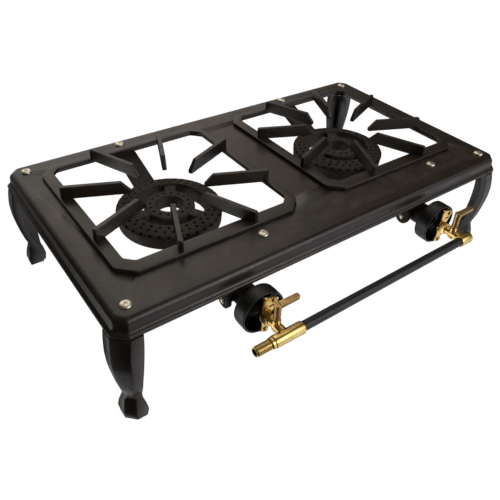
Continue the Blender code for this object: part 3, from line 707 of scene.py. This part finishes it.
def make_grate():
    """Rim with rounded top edges and eight fingers towards the burner."""
    bottom, top, edge = GAP, GAP + RIM_THICK, 0.0013
    side = [(0.0005, bottom), (0.0, bottom + 0.0005)]
    side += [(edge * (1 - cos(a)), top - edge * (1 - sin(a)))
             for a in (0.0, 0.4, 0.8, 1.2, pi / 2)]
    rim = loft([rim_outline(False, *row) for row in side]
               + [rim_outline(True, *row) for row in reversed(side)], ring=True)
    bottom, nose, top = 0.0020, 0.0060, FINGER_HEIGHT
    side_view = [
        (FINGER_IN, bottom), (FINGER_OUT, bottom), (FINGER_OUT, top - 0.0015),
        (FINGER_OUT - 0.0015, top), (FINGER_IN + 0.0110, top),
        (FINGER_IN + 0.0010, nose + 0.0012), (FINGER_IN, nose),
    ]
    fingers = []
    for quarter in range(4):
        for sign in (-1, 1):
            finger = flat_plate([side_view], FINGER_THICK)
            for v in finger.data.vertices:      # casting draft: thinner at the top
                v.co.z *= 1.0 - 0.12 * (v.co.y - bottom) / (top - bottom)
            bevelled(finger, 0.0010, 3, 50)
            bake(finger, Matrix.Rotation(pi / 2, 4, "X"))
            turn = quarter * pi / 2 + sign * FINGER_ANGLE
            fingers.append(bake(finger, Matrix.Rotation(turn, 4, "Z")))
    return join(rim, merge(fingers))


# --------------------------------------------------------------------- legs
# height, outside of the wall, inside of the wall, end of the wings, corner cut
LEG_STATIONS = (
    (-0.0053, -0.0053, 0.0105, 0.0290, 0.0090),
    (-0.0218, -0.0053, 0.0105, 0.0270, 0.0090),
    (-0.0224, 0.0052, 0.0100, 0.0250, 0.0158),
    (-0.0350, 0.0073, 0.0040, 0.0233, 0.0152),
    (-0.0490, LEG_BULGE, 0.0012, 0.0213, 0.0148),
    (-0.0620, 0.0087, 0.0006, 0.0199, 0.0142),
    (-0.0750, 0.0074, 0.0014, 0.0189, 0.0130),
    (-0.0880, 0.0055, 0.0034, 0.0181, 0.0110),
    (-0.1000, 0.0033, 0.0060, 0.0178, 0.0086),
    (-0.1095, 0.0006, 0.0088, 0.0177, 0.0060),
    (-0.1150, -0.0010, 0.0104, 0.0174, 0.0048),
    (-0.1180, -0.0004, 0.0114, 0.0172, 0.0070),
    (-0.1205, 0.0014, 0.0122, 0.0170, 0.0098),
    (-0.1290, 0.0036, 0.0142, 0.0191, 0.0102),
    (-0.1385, 0.0052, 0.0152, 0.0204, 0.0104),
    (-PLATE_TOP, 0.0042, 0.0146, 0.0184, 0.0106),
)


def between(stations, steps):
    """Smooth curve through the stations, no row of it further out than the knee."""
    rows = [Vector(s) for s in ((stations[0],) + tuple(stations) + (stations[-1],))]
    result = []
    for a, b, c, d in zip(rows, rows[1:], rows[2:], rows[3:]):
        for k in range(steps):
            t = k / steps
            row = [(2 * b[i] + (c[i] - a[i]) * t
                    + (2 * a[i] - 5 * b[i] + 4 * c[i] - d[i]) * t ** 2
                    + (3 * b[i] - a[i] - 3 * c[i] + d[i]) * t ** 3) / 2 for i in range(len(b))]
            row[1] = min(row[1], LEG_BULGE)
            result.append(tuple(row))
    result.append(tuple(rows[-1]))
    return result


def leg_section(station):
    """Angle section of a leg at one height, its outer corner cut off."""
    z, out, inside, wing, corner = station
    return softened([
        (wing, -out, z), (corner - out, -out, z), (-out, corner - out, z), (-out, wing, z),
        (inside, wing, z), (inside, inside, z), (wing, inside, z),
    ], 0.0009, 2)


def make_leg(side_x, side_y, node):
    """Cast leg of angle section with its bolting flange, for one corner."""
    seat, shank, foot = LEG_STATIONS[:2], LEG_STATIONS[2:11], LEG_STATIONS[11:]
    leg = loft([leg_section(s) for s in (*seat, *between(shank, 4), *foot)])
    top = -PLATE_THICK - GAP
    inner, outer = 0.0098, 0.030
    flange = box((inner, inner, top - FLANGE_THICK), (outer, outer, top))
    join(leg, bevelled(flange, 0.0008, 2))
    hole = (FRAME_HALF_X - CORNER_SCREW_X, FRAME_HALF_Y - CORNER_SCREW_Y)
    cut(leg, rod("Z", -0.020, 0.0, SCREW_HOLE, hole, 24))
    bake(leg, Matrix.Translation((-FRAME_HALF_X, -FRAME_HALF_Y, 0.0)))
    bake(leg, Matrix.Diagonal((-side_x, -side_y, 1.0, 1.0)))
    show(leg, node, IRON, angle=30)


# ------------------------------------------------------------------- burner
def around(count, radius, half_step=0.0):
    """Evenly spaced plan positions round the burner's axis."""
    for k in range(count):
        turn = 2 * pi * (k + half_step) / count
        yield radius * cos(turn), radius * sin(turn)


def make_burner():
    """One casting: outer ring, core, bridges, mixer tube, arm, ear and lug."""
    ring_steps, core_steps = 96, 64
    top_slope = [(HEAD_INNER + 0.0010, HEAD_TOP), (HEAD_RADIUS - 0.0030, HEAD_EDGE + 0.0003)]
    head = turned(eased([
        (HEAD_INNER, HEAD_BOTTOM + 0.0020), (HEAD_INNER, HEAD_TOP - 0.0008), *top_slope,
        (HEAD_RADIUS, HEAD_EDGE - 0.0015), (HEAD_RADIUS - 0.0015, HEAD_BOTTOM),
        (HEAD_INNER + 0.0015, HEAD_BOTTOM), (HEAD_INNER, HEAD_BOTTOM + 0.0015),
    ], 0.0012)[:-1], ring_steps, closed=True)
    core = turned(eased([
        (CORE_HOLE, CORE_BOTTOM + 0.0010), (CORE_HOLE, HEAD_TOP - 0.0012),
        (CORE_HOLE + 0.0015, HEAD_TOP), (CORE_RADIUS - 0.0020, HEAD_TOP - 0.0012),
        (CORE_RADIUS, HEAD_TOP - 0.0030), (CORE_RADIUS, CORE_BOTTOM), (CORE_HOLE, CORE_BOTTOM),
        (CORE_HOLE, CORE_BOTTOM + 0.0005),
    ], 0.0010)[:-1], core_steps, closed=True)
    bridges = []
    for degrees in BRIDGES:
        bridge = box((CORE_RADIUS - 0.004, -BRIDGE_WIDTH / 2, BRIDGE_BOTTOM),
                     (HEAD_INNER + 0.004, BRIDGE_WIDTH / 2, BRIDGE_TOP))
        bevelled(bridge, 0.0012, 2)
        bridges.append(bake(bridge, Matrix.Rotation(radians(degrees), 4, "Z")))
    tube_front = TUBE_END_Y - BURNER_Y
    tube = rod("Y", tube_front, TUBE_JOINS, TUBE_RADIUS, (0.0, PIPE_Z), 48)
    boss = rod("Z", PIPE_Z - TUBE_RADIUS - 0.001, HEAD_EDGE - 0.010, BOSS_RADIUS,
               (0.0, TUBE_JOINS), 48)
    bevelled(boss, 0.0015, 2)
    join(head, core, *bridges, boss, tube, back_arm(), *front_ear(), *side_lug())

    holes = [rod("Z", -0.0300, -0.0100, PORT_RADIUS, place, 12)
             for radius, count, offset in PORT_ROWS for place in around(count, radius, offset)]
    for k in range(NOTCHES):
        turn = 2 * pi * k / NOTCHES
        if abs(turn - pi / 2) < NOTCH_FREE:
            continue
        notch = box((NOTCH_INNER, -NOTCH_WIDTH / 2, HEAD_EDGE - NOTCH_DEPTH),
                    (HEAD_RADIUS + 0.005, NOTCH_WIDTH / 2, HEAD_EDGE + 0.010))
        holes.append(bake(notch, Matrix.Rotation(turn, 4, "Z")))
    bore = rod("Y", tube_front - 0.005, TUBE_JOINS, TUBE_BORE, (0.0, PIPE_Z), 40)
    cut(head, merge(holes), bore)
    return cut(head, rod("Z", -0.060, 0.0, SCREW_HOLE, (EAR_X, EAR_Y - BURNER_Y), 24),
               rod("Z", -0.030, 0.0, SCREW_HOLE, (0.0, BACK_SCREW_Y - BURNER_Y), 24),
               rod("X", -0.030, -0.0185, LUG_HOLE, (LUG_Y - BURNER_Y, LUG_Z), 20))


# turns a plate so that its own X and Y become the stove's Y and Z
SIDE_VIEW = Matrix(((0, 0, 1, 0), (1, 0, 0, 0), (0, 1, 0, 0), (0, 0, 0, 1)))


def back_arm():
    """Arm that climbs from the ring to its screw under the plate."""
    top = -PLATE_THICK - GAP
    outline = [(0.060, -0.0240), (0.069, -0.0240), (0.120, top), (0.148, top),
               (0.148, top - ARM_THICK), (0.124, top - ARM_THICK),
               (0.072, -0.0330), (0.060, -0.0330)]
    return bake(bevelled(flat_plate([outline], ARM_WIDTH), 0.0009, 2), SIDE_VIEW)


def front_ear():
    """Post under the plate beside the mixer tube, and its web."""
    y = EAR_Y - BURNER_Y
    post = rod("Z", EAR_BOTTOM, -PLATE_THICK - GAP, EAR_RADIUS, (EAR_X, y), 40)
    web = box((0.004, y - WEB_HALF, EAR_BOTTOM + 0.0005), (EAR_X, y + WEB_HALF, WEB_TOP))
    return bevelled(post, 0.0008, 2), bevelled(web, 0.0009, 2)


def side_lug():
    """Rounded lug beside the mixer tube, and its web."""
    y, top = LUG_Y - BURNER_Y, -0.0380
    outline = arc((y, LUG_Z), LUG_RADIUS, 180, 360, 24)
    outline += [(y + LUG_RADIUS, top), (y - LUG_RADIUS, top)]
    lug = bevelled(flat_plate([outline], LUG_THICK), 0.0008, 2, 60)
    bake(lug, Matrix.Translation((LUG_X, 0.0, 0.0)) @ SIDE_VIEW)
    web = box((-0.0200, y - 0.0070, -0.0500), (-0.0105, y + 0.0070, -0.0400))
    return lug, bevelled(web, 0.0008, 2)


# ----------------------------------------------------------------- air cups
FACING = Matrix.Rotation(pi / 2, 4, "X")        # a part turned about Z, laid along -Y


def make_cup():
    """Round mixer cup on the tube's end, axis +Y, open to the front."""
    depth = CUP_BACK_Y - CUP_FRONT_Y
    inner, lip = TUBE_RADIUS + GAP, CUP_RADIUS - CUP_WALL
    shell = turned(eased([
        (inner, 0.0010), (inner, 0.0), (CUP_RADIUS - 0.0005, 0.0), (CUP_RADIUS, 0.0040),
        (CUP_RADIUS, depth), (lip, depth), (lip, 0.0030), (inner, 0.0030), (inner, 0.0015),
    ], 0.0009)[:-1], 72, closed=True)
    bake(shell, FACING)
    posts, holes = [], []
    for turn in (STRAP_TURN, pi):
        post = box((-POST_HALF - 0.0001, -depth - POST_OUT, STRAP_SCREW - 0.0040),
                   (POST_HALF - 0.0001, -0.0015, CUP_RADIUS - 0.0012))
        bevelled(post, 0.0006, 2)
        posts.append(bake(post, Matrix.Rotation(turn, 4, "Y")))
        holes.append(rod("Y", -depth - 0.010, -depth + 0.007, STRAP_SCREW_HOLE,
                         strap_screw_at(turn), 20))
    join(shell, *posts)
    return cut(shell, *holes)


def strap_screw_at(turn):
    """Place of a strap screw across the cup's mouth, as (x, z) from its axis."""
    return (STRAP_SCREW * sin(turn), STRAP_SCREW * cos(turn))


def make_strap():
    """Brass strap over the cup's mouth: hub round the jet, wide ear, lower arm."""
    outline = (arc((0.0, 0.0), STRAP_HUB, -48, 25, 14) + arc((0.0122, 0.0180), 0.0030, 0, 80, 8)
               + arc((-0.0010, 0.0220), 0.0030, 80, 180, 10)
               + arc((0.0, 0.0), STRAP_HUB, 135, 228, 16)
               + arc((0.0, -STRAP_SCREW), STRAP_FOOT, 180, 360, 18))
    air_slot = (arc((0.0085, 0.0118), 0.0014, -60, 120, 10)
                + arc((0.0040, 0.0118), 0.0014, 120, 300, 10))
    strap = bake(bevelled(flat_plate([outline, air_slot], STRAP_THICK), 0.0004, 2, 60), FACING)
    cutters = [rod("Y", -0.010, 0.010, JET_RADIUS + GAP, sides=40)]
    for turn in (STRAP_TURN, pi):
        cutters.append(rod("Y", -0.010, 0.010, STRAP_SCREW_HOLE, strap_screw_at(turn), 20))
    return cut(strap, *cutters)


def round_head(radius, height, shank, length, steps=40):
    """Screw with a domed head on Z = 0, shank down."""
    dome = [(0.0, height)]
    for k in range(1, 10):
        a = radians(9 * k)
        dome.append((radius * sin(a), height * cos(a) ** 0.8))
    return turned([*dome, (radius, 0.0), (shank, 0.0), (shank, -length + 0.0004),
                   (shank - 0.0004, -length), (0.0, -length)], steps)


def make_strap_screw():
    """Small slotted screw, head towards -Y, shank along +Y."""
    screw = round_head(0.0032, 0.0020, 0.0015, 0.0085)
    cut(screw, box((-0.0040, -0.0004, 0.0009), (0.0040, 0.0004, 0.0030)))
    return bake(screw, FACING)


def make_jet():
    """Gas jet through the strap: its tip points into the mixer tube, +Y."""
    tip = 0.0120
    jet = turned(eased([
        (JET_HOLE, tip - 0.0004), (JET_HOLE, tip), (0.0026, tip), (JET_RADIUS, tip - 0.0032),
        (JET_RADIUS, -0.0060), (0.0022, -0.0060), (0.0022, 0.0060), (JET_HOLE, 0.0090),
    ], 0.0004), 40, closed=True)
    return bake(jet, Matrix.Rotation(-pi / 2, 4, "X"))


# --------------------------------------------------------------------- taps
def barrel(axis, start, end, radius, centre=(0.0, 0.0), ease=0.0007):
    """Turned bar with rounded ends."""
    return bevelled(rod(axis, start, end, radius, centre, 48), ease, 3, 60)


def make_tap_body(cross_left, cross_right, closed_end):
    """Brass tap: hex collar, barrel, upright seat for the plug and cross tube."""
    collar_back = STRAP_FRONT_Y - GAP - TAP_Y
    cross_y = MANIFOLD_Y - TAP_Y
    housing = barrel("Z", HOUSING_BOTTOM, HOUSING_TOP, HOUSING_RADIUS)
    collar = hexagon("Y", collar_back - COLLAR_LENGTH, collar_back, COLLAR_FLATS)
    way = rod("Y", cross_y, collar_back - PAST, BARREL_RADIUS, sides=48)
    body = barrel("X", cross_left, cross_right, TEE_RADIUS, (cross_y, 0.0))
    join(body, way, housing, collar)
    socket_radius = PIPE_RADIUS + GAP
    cutters = [
        rod("X", cross_left - PAST, cross_left + SOCKET_DEPTH, socket_radius, (cross_y, 0.0)),
        rod("X", cross_left + 0.004, cross_right - 0.004, CROSS_BORE, (cross_y, 0.0), 24),
        rod("Y", cross_y, collar_back - 0.0040, GAS_WAY, sides=20),
        rod("Y", collar_back - 0.0075, collar_back + PAST, JET_RADIUS + GAP),
    ]
    if not closed_end:
        cutters.append(rod("X", cross_right - SOCKET_DEPTH, cross_right + PAST,
                           socket_radius, (cross_y, 0.0)))
    cutters.append(rod("Z", -PLUG_CONE / 2, PLUG_CONE / 2, PLUG_BOTTOM_RADIUS + GAP,
                       end_radius=PLUG_TOP_RADIUS + GAP))
    return cut(body, *cutters)


def make_plug():
    """Tapered plug with a cross bore, stem, square end and stud, axis Z."""
    slope = (PLUG_TOP_RADIUS - PLUG_BOTTOM_RADIUS) / PLUG_CONE
    middle_radius = (PLUG_TOP_RADIUS + PLUG_BOTTOM_RADIUS) / 2
    seat = HOUSING_TOP + GAP
    foot = HOUSING_BOTTOM + 0.0002
    stem_top = LEVER_Z - PIPE_Z - GAP
    square_top = LEVER_Z - PIPE_Z + LEVER_THICK - LEVER_SCREW_SINK - GAP
    plug = turned(eased([
        (0.0, stem_top), (STEM_RADIUS, stem_top), (STEM_RADIUS, seat),
        (middle_radius + slope * seat, seat), (middle_radius + slope * foot, foot),
        (STUD_RADIUS, foot - 0.0001), (STUD_RADIUS, STUD_END), (0.0, STUD_END),
    ], 0.0004), 40)
    half = STEM_SQUARE / 2
    square = box((-half, -half, stem_top - PAST), (half, half, square_top))
    join(plug, bevelled(square, 0.0003, 2))
    bore = rod("X", -0.010, 0.010, GAS_WAY, sides=20)
    thread = rod("Z", square_top - 0.0080, square_top + PAST, LEVER_SCREW + GAP, sides=16)
    return cut(plug, bore, thread)


def make_lever():
    """Flat lever with a square hole for the plug's end, pointing along +X."""
    half = LEVER_WIDTH / 2
    shoulder = 49                # where the lever's sides run into its hub, in degrees
    corner_x, corner_y = LEVER_REACH - LEVER_CORNER, half - LEVER_CORNER
    tip = (arc((corner_x, -corner_y), LEVER_CORNER, -90, 0, 5)
           + arc((corner_x, corner_y), LEVER_CORNER, 0, 90, 5))
    hub = arc((0.0, 0.0), LEVER_HUB, shoulder, 360 - shoulder, 36)
    lever = bevelled(flat_plate([tip + hub], LEVER_THICK), 0.0010, 3, 60)
    bake(lever, Matrix.Translation((0.0, 0.0, LEVER_THICK / 2)))
    hole = STEM_SQUARE / 2 + GAP
    sink = rod("Z", LEVER_THICK - LEVER_SCREW_SINK, LEVER_THICK + PAST, LEVER_SCREW_HEAD + GAP)
    return cut(lever, box((-hole, -hole, -0.010), (hole, hole, 0.010)), sink)


def make_lever_screw():
    """Flat-headed screw sunk in the lever."""
    top = LEVER_SCREW_SINK - 0.0002
    screw = turned(eased([
        (0.0, top), (LEVER_SCREW_HEAD, top), (LEVER_SCREW_HEAD, 0.0), (LEVER_SCREW, 0.0),
        (LEVER_SCREW, -0.0070), (0.0, -0.0070),
    ], 0.0003), 40)
    return cut(screw, box((-0.0040, -0.0004, top - 0.0006), (0.0040, 0.0004, 0.0030)))


def make_nut(flats, height, bore):
    """Hexagonal nut standing on Z = 0."""
    nut = hexagon("Z", 0.0, height, flats)
    return cut(nut, rod("Z", -0.010, 0.020, bore, sides=24))


# --------------------------------------------------------------- gas supply
def make_inlet():
    """Threaded male inlet nipple along X, open right through."""
    socket_end = TEE_LEFT + SOCKET_DEPTH - GAP
    collar_end = TEE_LEFT - GAP
    thread_start = collar_end - 0.0050
    root = THREAD_RADIUS - THREAD_DEPTH
    profile = [(PIPE_BORE, socket_end - 0.0004), (PIPE_BORE + 0.0004, socket_end),
               (PIPE_RADIUS, socket_end), (PIPE_RADIUS, collar_end),
               (COLLAR_RADIUS - 0.0004, collar_end), (COLLAR_RADIUS, collar_end - 0.0004),
               (COLLAR_RADIUS, collar_end - 0.0031),
               (COLLAR_RADIUS - 0.0004, collar_end - 0.0035),
               (0.0050, collar_end - 0.0041)]
    turns = int((thread_start - 0.0010 - INLET_TIP) / THREAD_PITCH)
    for k in range(turns):
        z = thread_start - THREAD_PITCH * k
        profile += [(root, z), (THREAD_RADIUS, z - 0.35 * THREAD_PITCH),
                    (THREAD_RADIUS, z - 0.65 * THREAD_PITCH)]
    profile += [(root, thread_start - THREAD_PITCH * turns),
                (THREAD_RADIUS - 0.0009, INLET_TIP), (PIPE_BORE + 0.0004, INLET_TIP),
                (PIPE_BORE, INLET_TIP + 0.0005)]
    return bake(turned(profile, 48, closed=True), Matrix.Rotation(pi / 2, 4, "Y"))


def make_manifold():
    """Black pipe between the two taps, open at both ends."""
    left = -BURNER_X + TEE_RIGHT - SOCKET_DEPTH + GAP
    right = BURNER_X + ELBOW_LEFT + SOCKET_DEPTH - GAP
    rows = 24
    skin = [(PIPE_RADIUS, right + (left - right) * k / rows) for k in range(rows + 1)]
    pipe = turned([(PIPE_BORE, right), *skin, (PIPE_BORE, left)], 48, closed=True)
    return bake(pipe, Matrix.Rotation(pi / 2, 4, "Y"))


# ---------------------------------------------------------------- fasteners
def make_top_screw(length):
    """Round-headed screw with a cross recess, standing on the plate."""
    screw = round_head(SCREW_HEAD, 0.0027, SCREW_SHANK, length, 48)
    bake(screw, Matrix.Translation((0.0, 0.0, GAP)))
    arms = []
    for turn in (20, 110):
        arm = box((-0.0026, -0.00055, 0.0012), (0.0026, 0.00055, 0.0040))
        arms.append(bake(arm, Matrix.Rotation(radians(turn), 4, "Z")))
    return cut(screw, *arms)


def make_lug_screw():
    """Small slotted screw in the burner's lug, head towards -X."""
    screw = round_head(0.0038, 0.0025, 0.0018, 0.0040)
    bake(screw, Matrix.Translation((0.0, 0.0, GAP)))
    cut(screw, box((-0.0050, -0.0005, 0.0016), (0.0050, 0.0005, 0.0040)))
    return bake(screw, Matrix.Rotation(-pi / 2, 4, "Y"))


def place_screws():
    """Screws and nuts of the frame, and the lugs' small screws."""
    below = GAP + NUT_HEIGHT + THREAD_SPARE
    lengths = {
        "corner": PLATE_THICK + GAP + FLANGE_THICK + below,
        "back": PLATE_THICK + GAP + ARM_THICK + below,
        "front": -EAR_BOTTOM + below,
    }
    screws = {kind: make_top_screw(length) for kind, length in lengths.items()}
    nut = make_nut(NUT_FLATS, NUT_HEIGHT, NUT_BORE)
    for label, (x, y) in screw_places().items():
        kind = label.split("_")[0] if "burner" in label else "corner"
        put(screws[kind], "screw_" + label, ZINC, (x, y, 0.0))
        put(nut, "nut_" + label, ZINC, (x, y, THREAD_SPARE - lengths[kind]))
    lug_screw = make_lug_screw()
    for side, x in SIDES:
        put(lug_screw, "lug_screw_" + side, ZINC, (x + LUG_FACE, LUG_Y, LUG_Z))


def place_gas_train():
    """Everything that the gas passes on its way to the burners, on both sides."""
    patterns = (
        ("air_cup", make_cup(), "black_paint", BLACK, CUP_BACK_Y, PIPE_Z),
        ("jet_strap", make_strap(), "brass", BRIGHT_BRASS,
         STRAP_BACK_Y - STRAP_THICK / 2, PIPE_Z),
        ("jet", make_jet(), "brass", BRIGHT_BRASS, STRAP_FRONT_Y, PIPE_Z),
        ("tap_plug", make_plug(), "brass", DULL_BRASS, TAP_Y, PIPE_Z),
        ("tap_lever", make_lever(), "brass", DULL_BRASS, TAP_Y, LEVER_Z),
        ("lever_screw", make_lever_screw(), "brass", DULL_BRASS, TAP_Y,
         LEVER_Z + LEVER_THICK - LEVER_SCREW_SINK),
        ("plug_nut", make_nut(PLUG_NUT_FLATS, PLUG_NUT_HEIGHT, STUD_RADIUS + GAP), "brass",
         BRIGHT_BRASS, TAP_Y, PIPE_Z + HOUSING_BOTTOM - GAP - PLUG_NUT_HEIGHT),
    )
    for name, pattern, slot, material, y, z in patterns:
        for side, x in SIDES:
            put(pattern, "%s_%s" % (name, side), material, (x, y, z))
    strap_screw = make_strap_screw()
    for side, x in SIDES:
        for level, turn in (("top", STRAP_TURN), ("bottom", pi)):
            away, up = strap_screw_at(turn)
            put(strap_screw, "strap_screw_%s_%s" % (level, side), BRIGHT_BRASS,
                (x + away, STRAP_FRONT_Y - GAP, PIPE_Z + up))
    show(make_tap_body(TEE_LEFT, TEE_RIGHT, False), "tap_body_left", BRIGHT_BRASS,
         (-BURNER_X, TAP_Y, PIPE_Z))
    show(make_tap_body(ELBOW_LEFT, ELBOW_RIGHT, True), "tap_body_right", BRIGHT_BRASS,
         (BURNER_X, TAP_Y, PIPE_Z))
    show(make_manifold(), "manifold_pipe", BLACK, (0.0, MANIFOLD_Y, PIPE_Z))
    show(make_inlet(), "inlet_nipple", BRIGHT_BRASS, (-BURNER_X, MANIFOLD_Y, PIPE_Z))


make_frame()
grate, burner = make_grate(), make_burner()
for side, x in SIDES:
    put(grate, "grate_" + side, IRON, (x, BURNER_Y, 0.0))
    put(burner, "burner_" + side, BURNER_IRON, (x, BURNER_Y, 0.0))
for side_x, left_right in ((-1, "left"), (1, "right")):
    for side_y, front_back in ((-1, "front"), (1, "back")):
        make_leg(side_x, side_y, "leg_%s_%s" % (front_back, left_right))
place_screws()
place_gas_train()


# ------------------------------------------------------------ floor and light
def sheet_of_light(name, place, aim, size, power, color):
    """Rectangular soft light that faces its aim."""
    data = bpy.data.lights.new(name, "AREA")
    data.shape = "RECTANGLE"
    data.size, data.size_y = size
    data.energy = power
    data.color = color
    light = new_object(name, data)
    light.location = place
    light.rotation_euler = (Vector(aim) - Vector(place)).to_track_quat("-Z", "Y").to_euler()


def make_floor():
    """White table, bright enough to carry no more than a faint shadow.

    It lies a little under the feet, and neither lights the stove nor shows in it.
    """
    half_size, drop, glow = 8.0, 0.0005, 0.97
    bm = bmesh.new()
    bmesh.ops.create_grid(bm, x_segments=1, y_segments=1, size=half_size)
    floor = object_from_bmesh("floor", bm)
    floor.location.z = -drop
    s = Surface("white_table", 0.0, 0.9)
    s.shader.inputs["Emission Color"].default_value = (1.0, 1.0, 1.0, 1.0)
    s.shader.inputs["Emission Strength"].default_value = glow
    tint = s.mix(s.ramp(s.noise(3.0), 0.3, 0.7), (0.14, 0.14, 0.14), (0.16, 0.16, 0.16))
    floor.data.materials.append(s.done(tint))
    floor.visible_diffuse = False
    floor.visible_glossy = False


# direction, light and half width in degrees of each soft patch of the tent
LOBES = (
    ((0.0, 0.0, 1.0), (0.11, 0.10, 0.09), 100),
    ((0.15, 0.96, 0.24), (1.00, 0.95, 0.90), 40),
    ((0.30, 0.66, 0.68), (0.28, 0.22, 0.16), 36),
    ((0.55, -0.62, -0.56), (0.90, 0.90, 0.95), 46),
    ((0.50, -0.66, 0.56), (1.60, 1.55, 1.50), 26),
    ((-0.82, 0.34, -0.46), (1.70, 1.70, 1.60), 30),
    ((-0.15, 0.95, -0.28), (0.22, 0.22, 0.21), 30),
    ((-0.08, 0.20, -0.97), (1.10, 1.10, 1.10), 33),
    ((0.45, -0.85, 0.25), (0.50, 0.50, 0.52), 40),
)


def make_world():
    """Dark tent with soft pale patches round the stove; the camera itself sees white."""
    world = bpy.data.worlds.new("tent")
    bpy.context.scene.world = world
    world.use_nodes = True
    tree = world.node_tree
    tree.nodes.clear()
    new, wire = tree.nodes.new, tree.links.new
    direction = new("ShaderNodeTexCoord").outputs["Generated"]
    total = None
    for aim, color, half_width in LOBES:
        dot = new("ShaderNodeVectorMath")
        dot.operation = "DOT_PRODUCT"
        dot.inputs[1].default_value = Vector(aim).normalized()
        wire(direction, dot.inputs[0])
        lobe = new("ShaderNodeMapRange")
        lobe.interpolation_type = "SMOOTHSTEP"
        lobe.inputs["From Min"].default_value = cos(radians(half_width))
        lobe.inputs["From Max"].default_value = 1.0
        wire(dot.outputs["Value"], lobe.inputs["Value"])
        tinted = new("ShaderNodeVectorMath")
        tinted.operation = "SCALE"
        tinted.inputs[0].default_value = color
        wire(lobe.outputs["Result"], tinted.inputs["Scale"])
        if total is None:
            total = tinted.outputs["Vector"]
        else:
            add = new("ShaderNodeVectorMath")
            add.operation = "ADD"
            wire(total, add.inputs[0])
            wire(tinted.outputs["Vector"], add.inputs[1])
            total = add.outputs["Vector"]
    lit = new("ShaderNodeBackground")
    wire(total, lit.inputs["Color"])
    white = new("ShaderNodeBackground")
    white.inputs["Color"].default_value = (1.0, 1.0, 1.0, 1.0)
    path = new("ShaderNodeLightPath")
    mix = new("ShaderNodeMixShader")
    wire(path.outputs["Is Camera Ray"], mix.inputs["Fac"])
    wire(lit.outputs["Background"], mix.inputs[1])
    wire(white.outputs["Background"], mix.inputs[2])
    output = new("ShaderNodeOutputWorld")
    wire(mix.outputs["Shader"], output.inputs["Surface"])


def make_camera():
    """The viewing angle: from the front left, looking down."""
    place = at(-0.4081, -0.4993, 0.3690)
    azimuth, elevation, roll = radians(37.87), radians(39.21), 0.0531
    back = Vector((-sin(azimuth) * cos(elevation), -cos(azimuth) * cos(elevation),
                   sin(elevation)))
    level = Vector((cos(azimuth), -sin(azimuth), 0.0))
    upright = back.cross(level)
    right = level * cos(roll) + upright * sin(roll)
    data = bpy.data.cameras.new("camera")
    data.lens = 38.37
    data.sensor_width = 36.0
    data.clip_start = 0.01
    camera = new_object("camera", data)
    turn = Matrix((right, back.cross(right), back)).transposed().to_4x4()
    camera.matrix_world = Matrix.Translation(place) @ turn
    bpy.context.scene.camera = camera


make_floor()
make_world()
make_camera()
STOVE_MIDDLE = (0.0, 0.0, 0.1)
sheet_of_light("front_box", (0.25, -1.3, 0.75), STOVE_MIDDLE, (0.9, 0.6), 4.0, (0.96, 0.98, 1.0))
sheet_of_light("top_box", (0.3, 0.6, 1.6), STOVE_MIDDLE, (1.2, 1.2), 3.5, (1.0, 0.97, 0.93))
bpy.context.scene.view_settings.view_transform = "Standard"

bpy.context.view_layer.update()
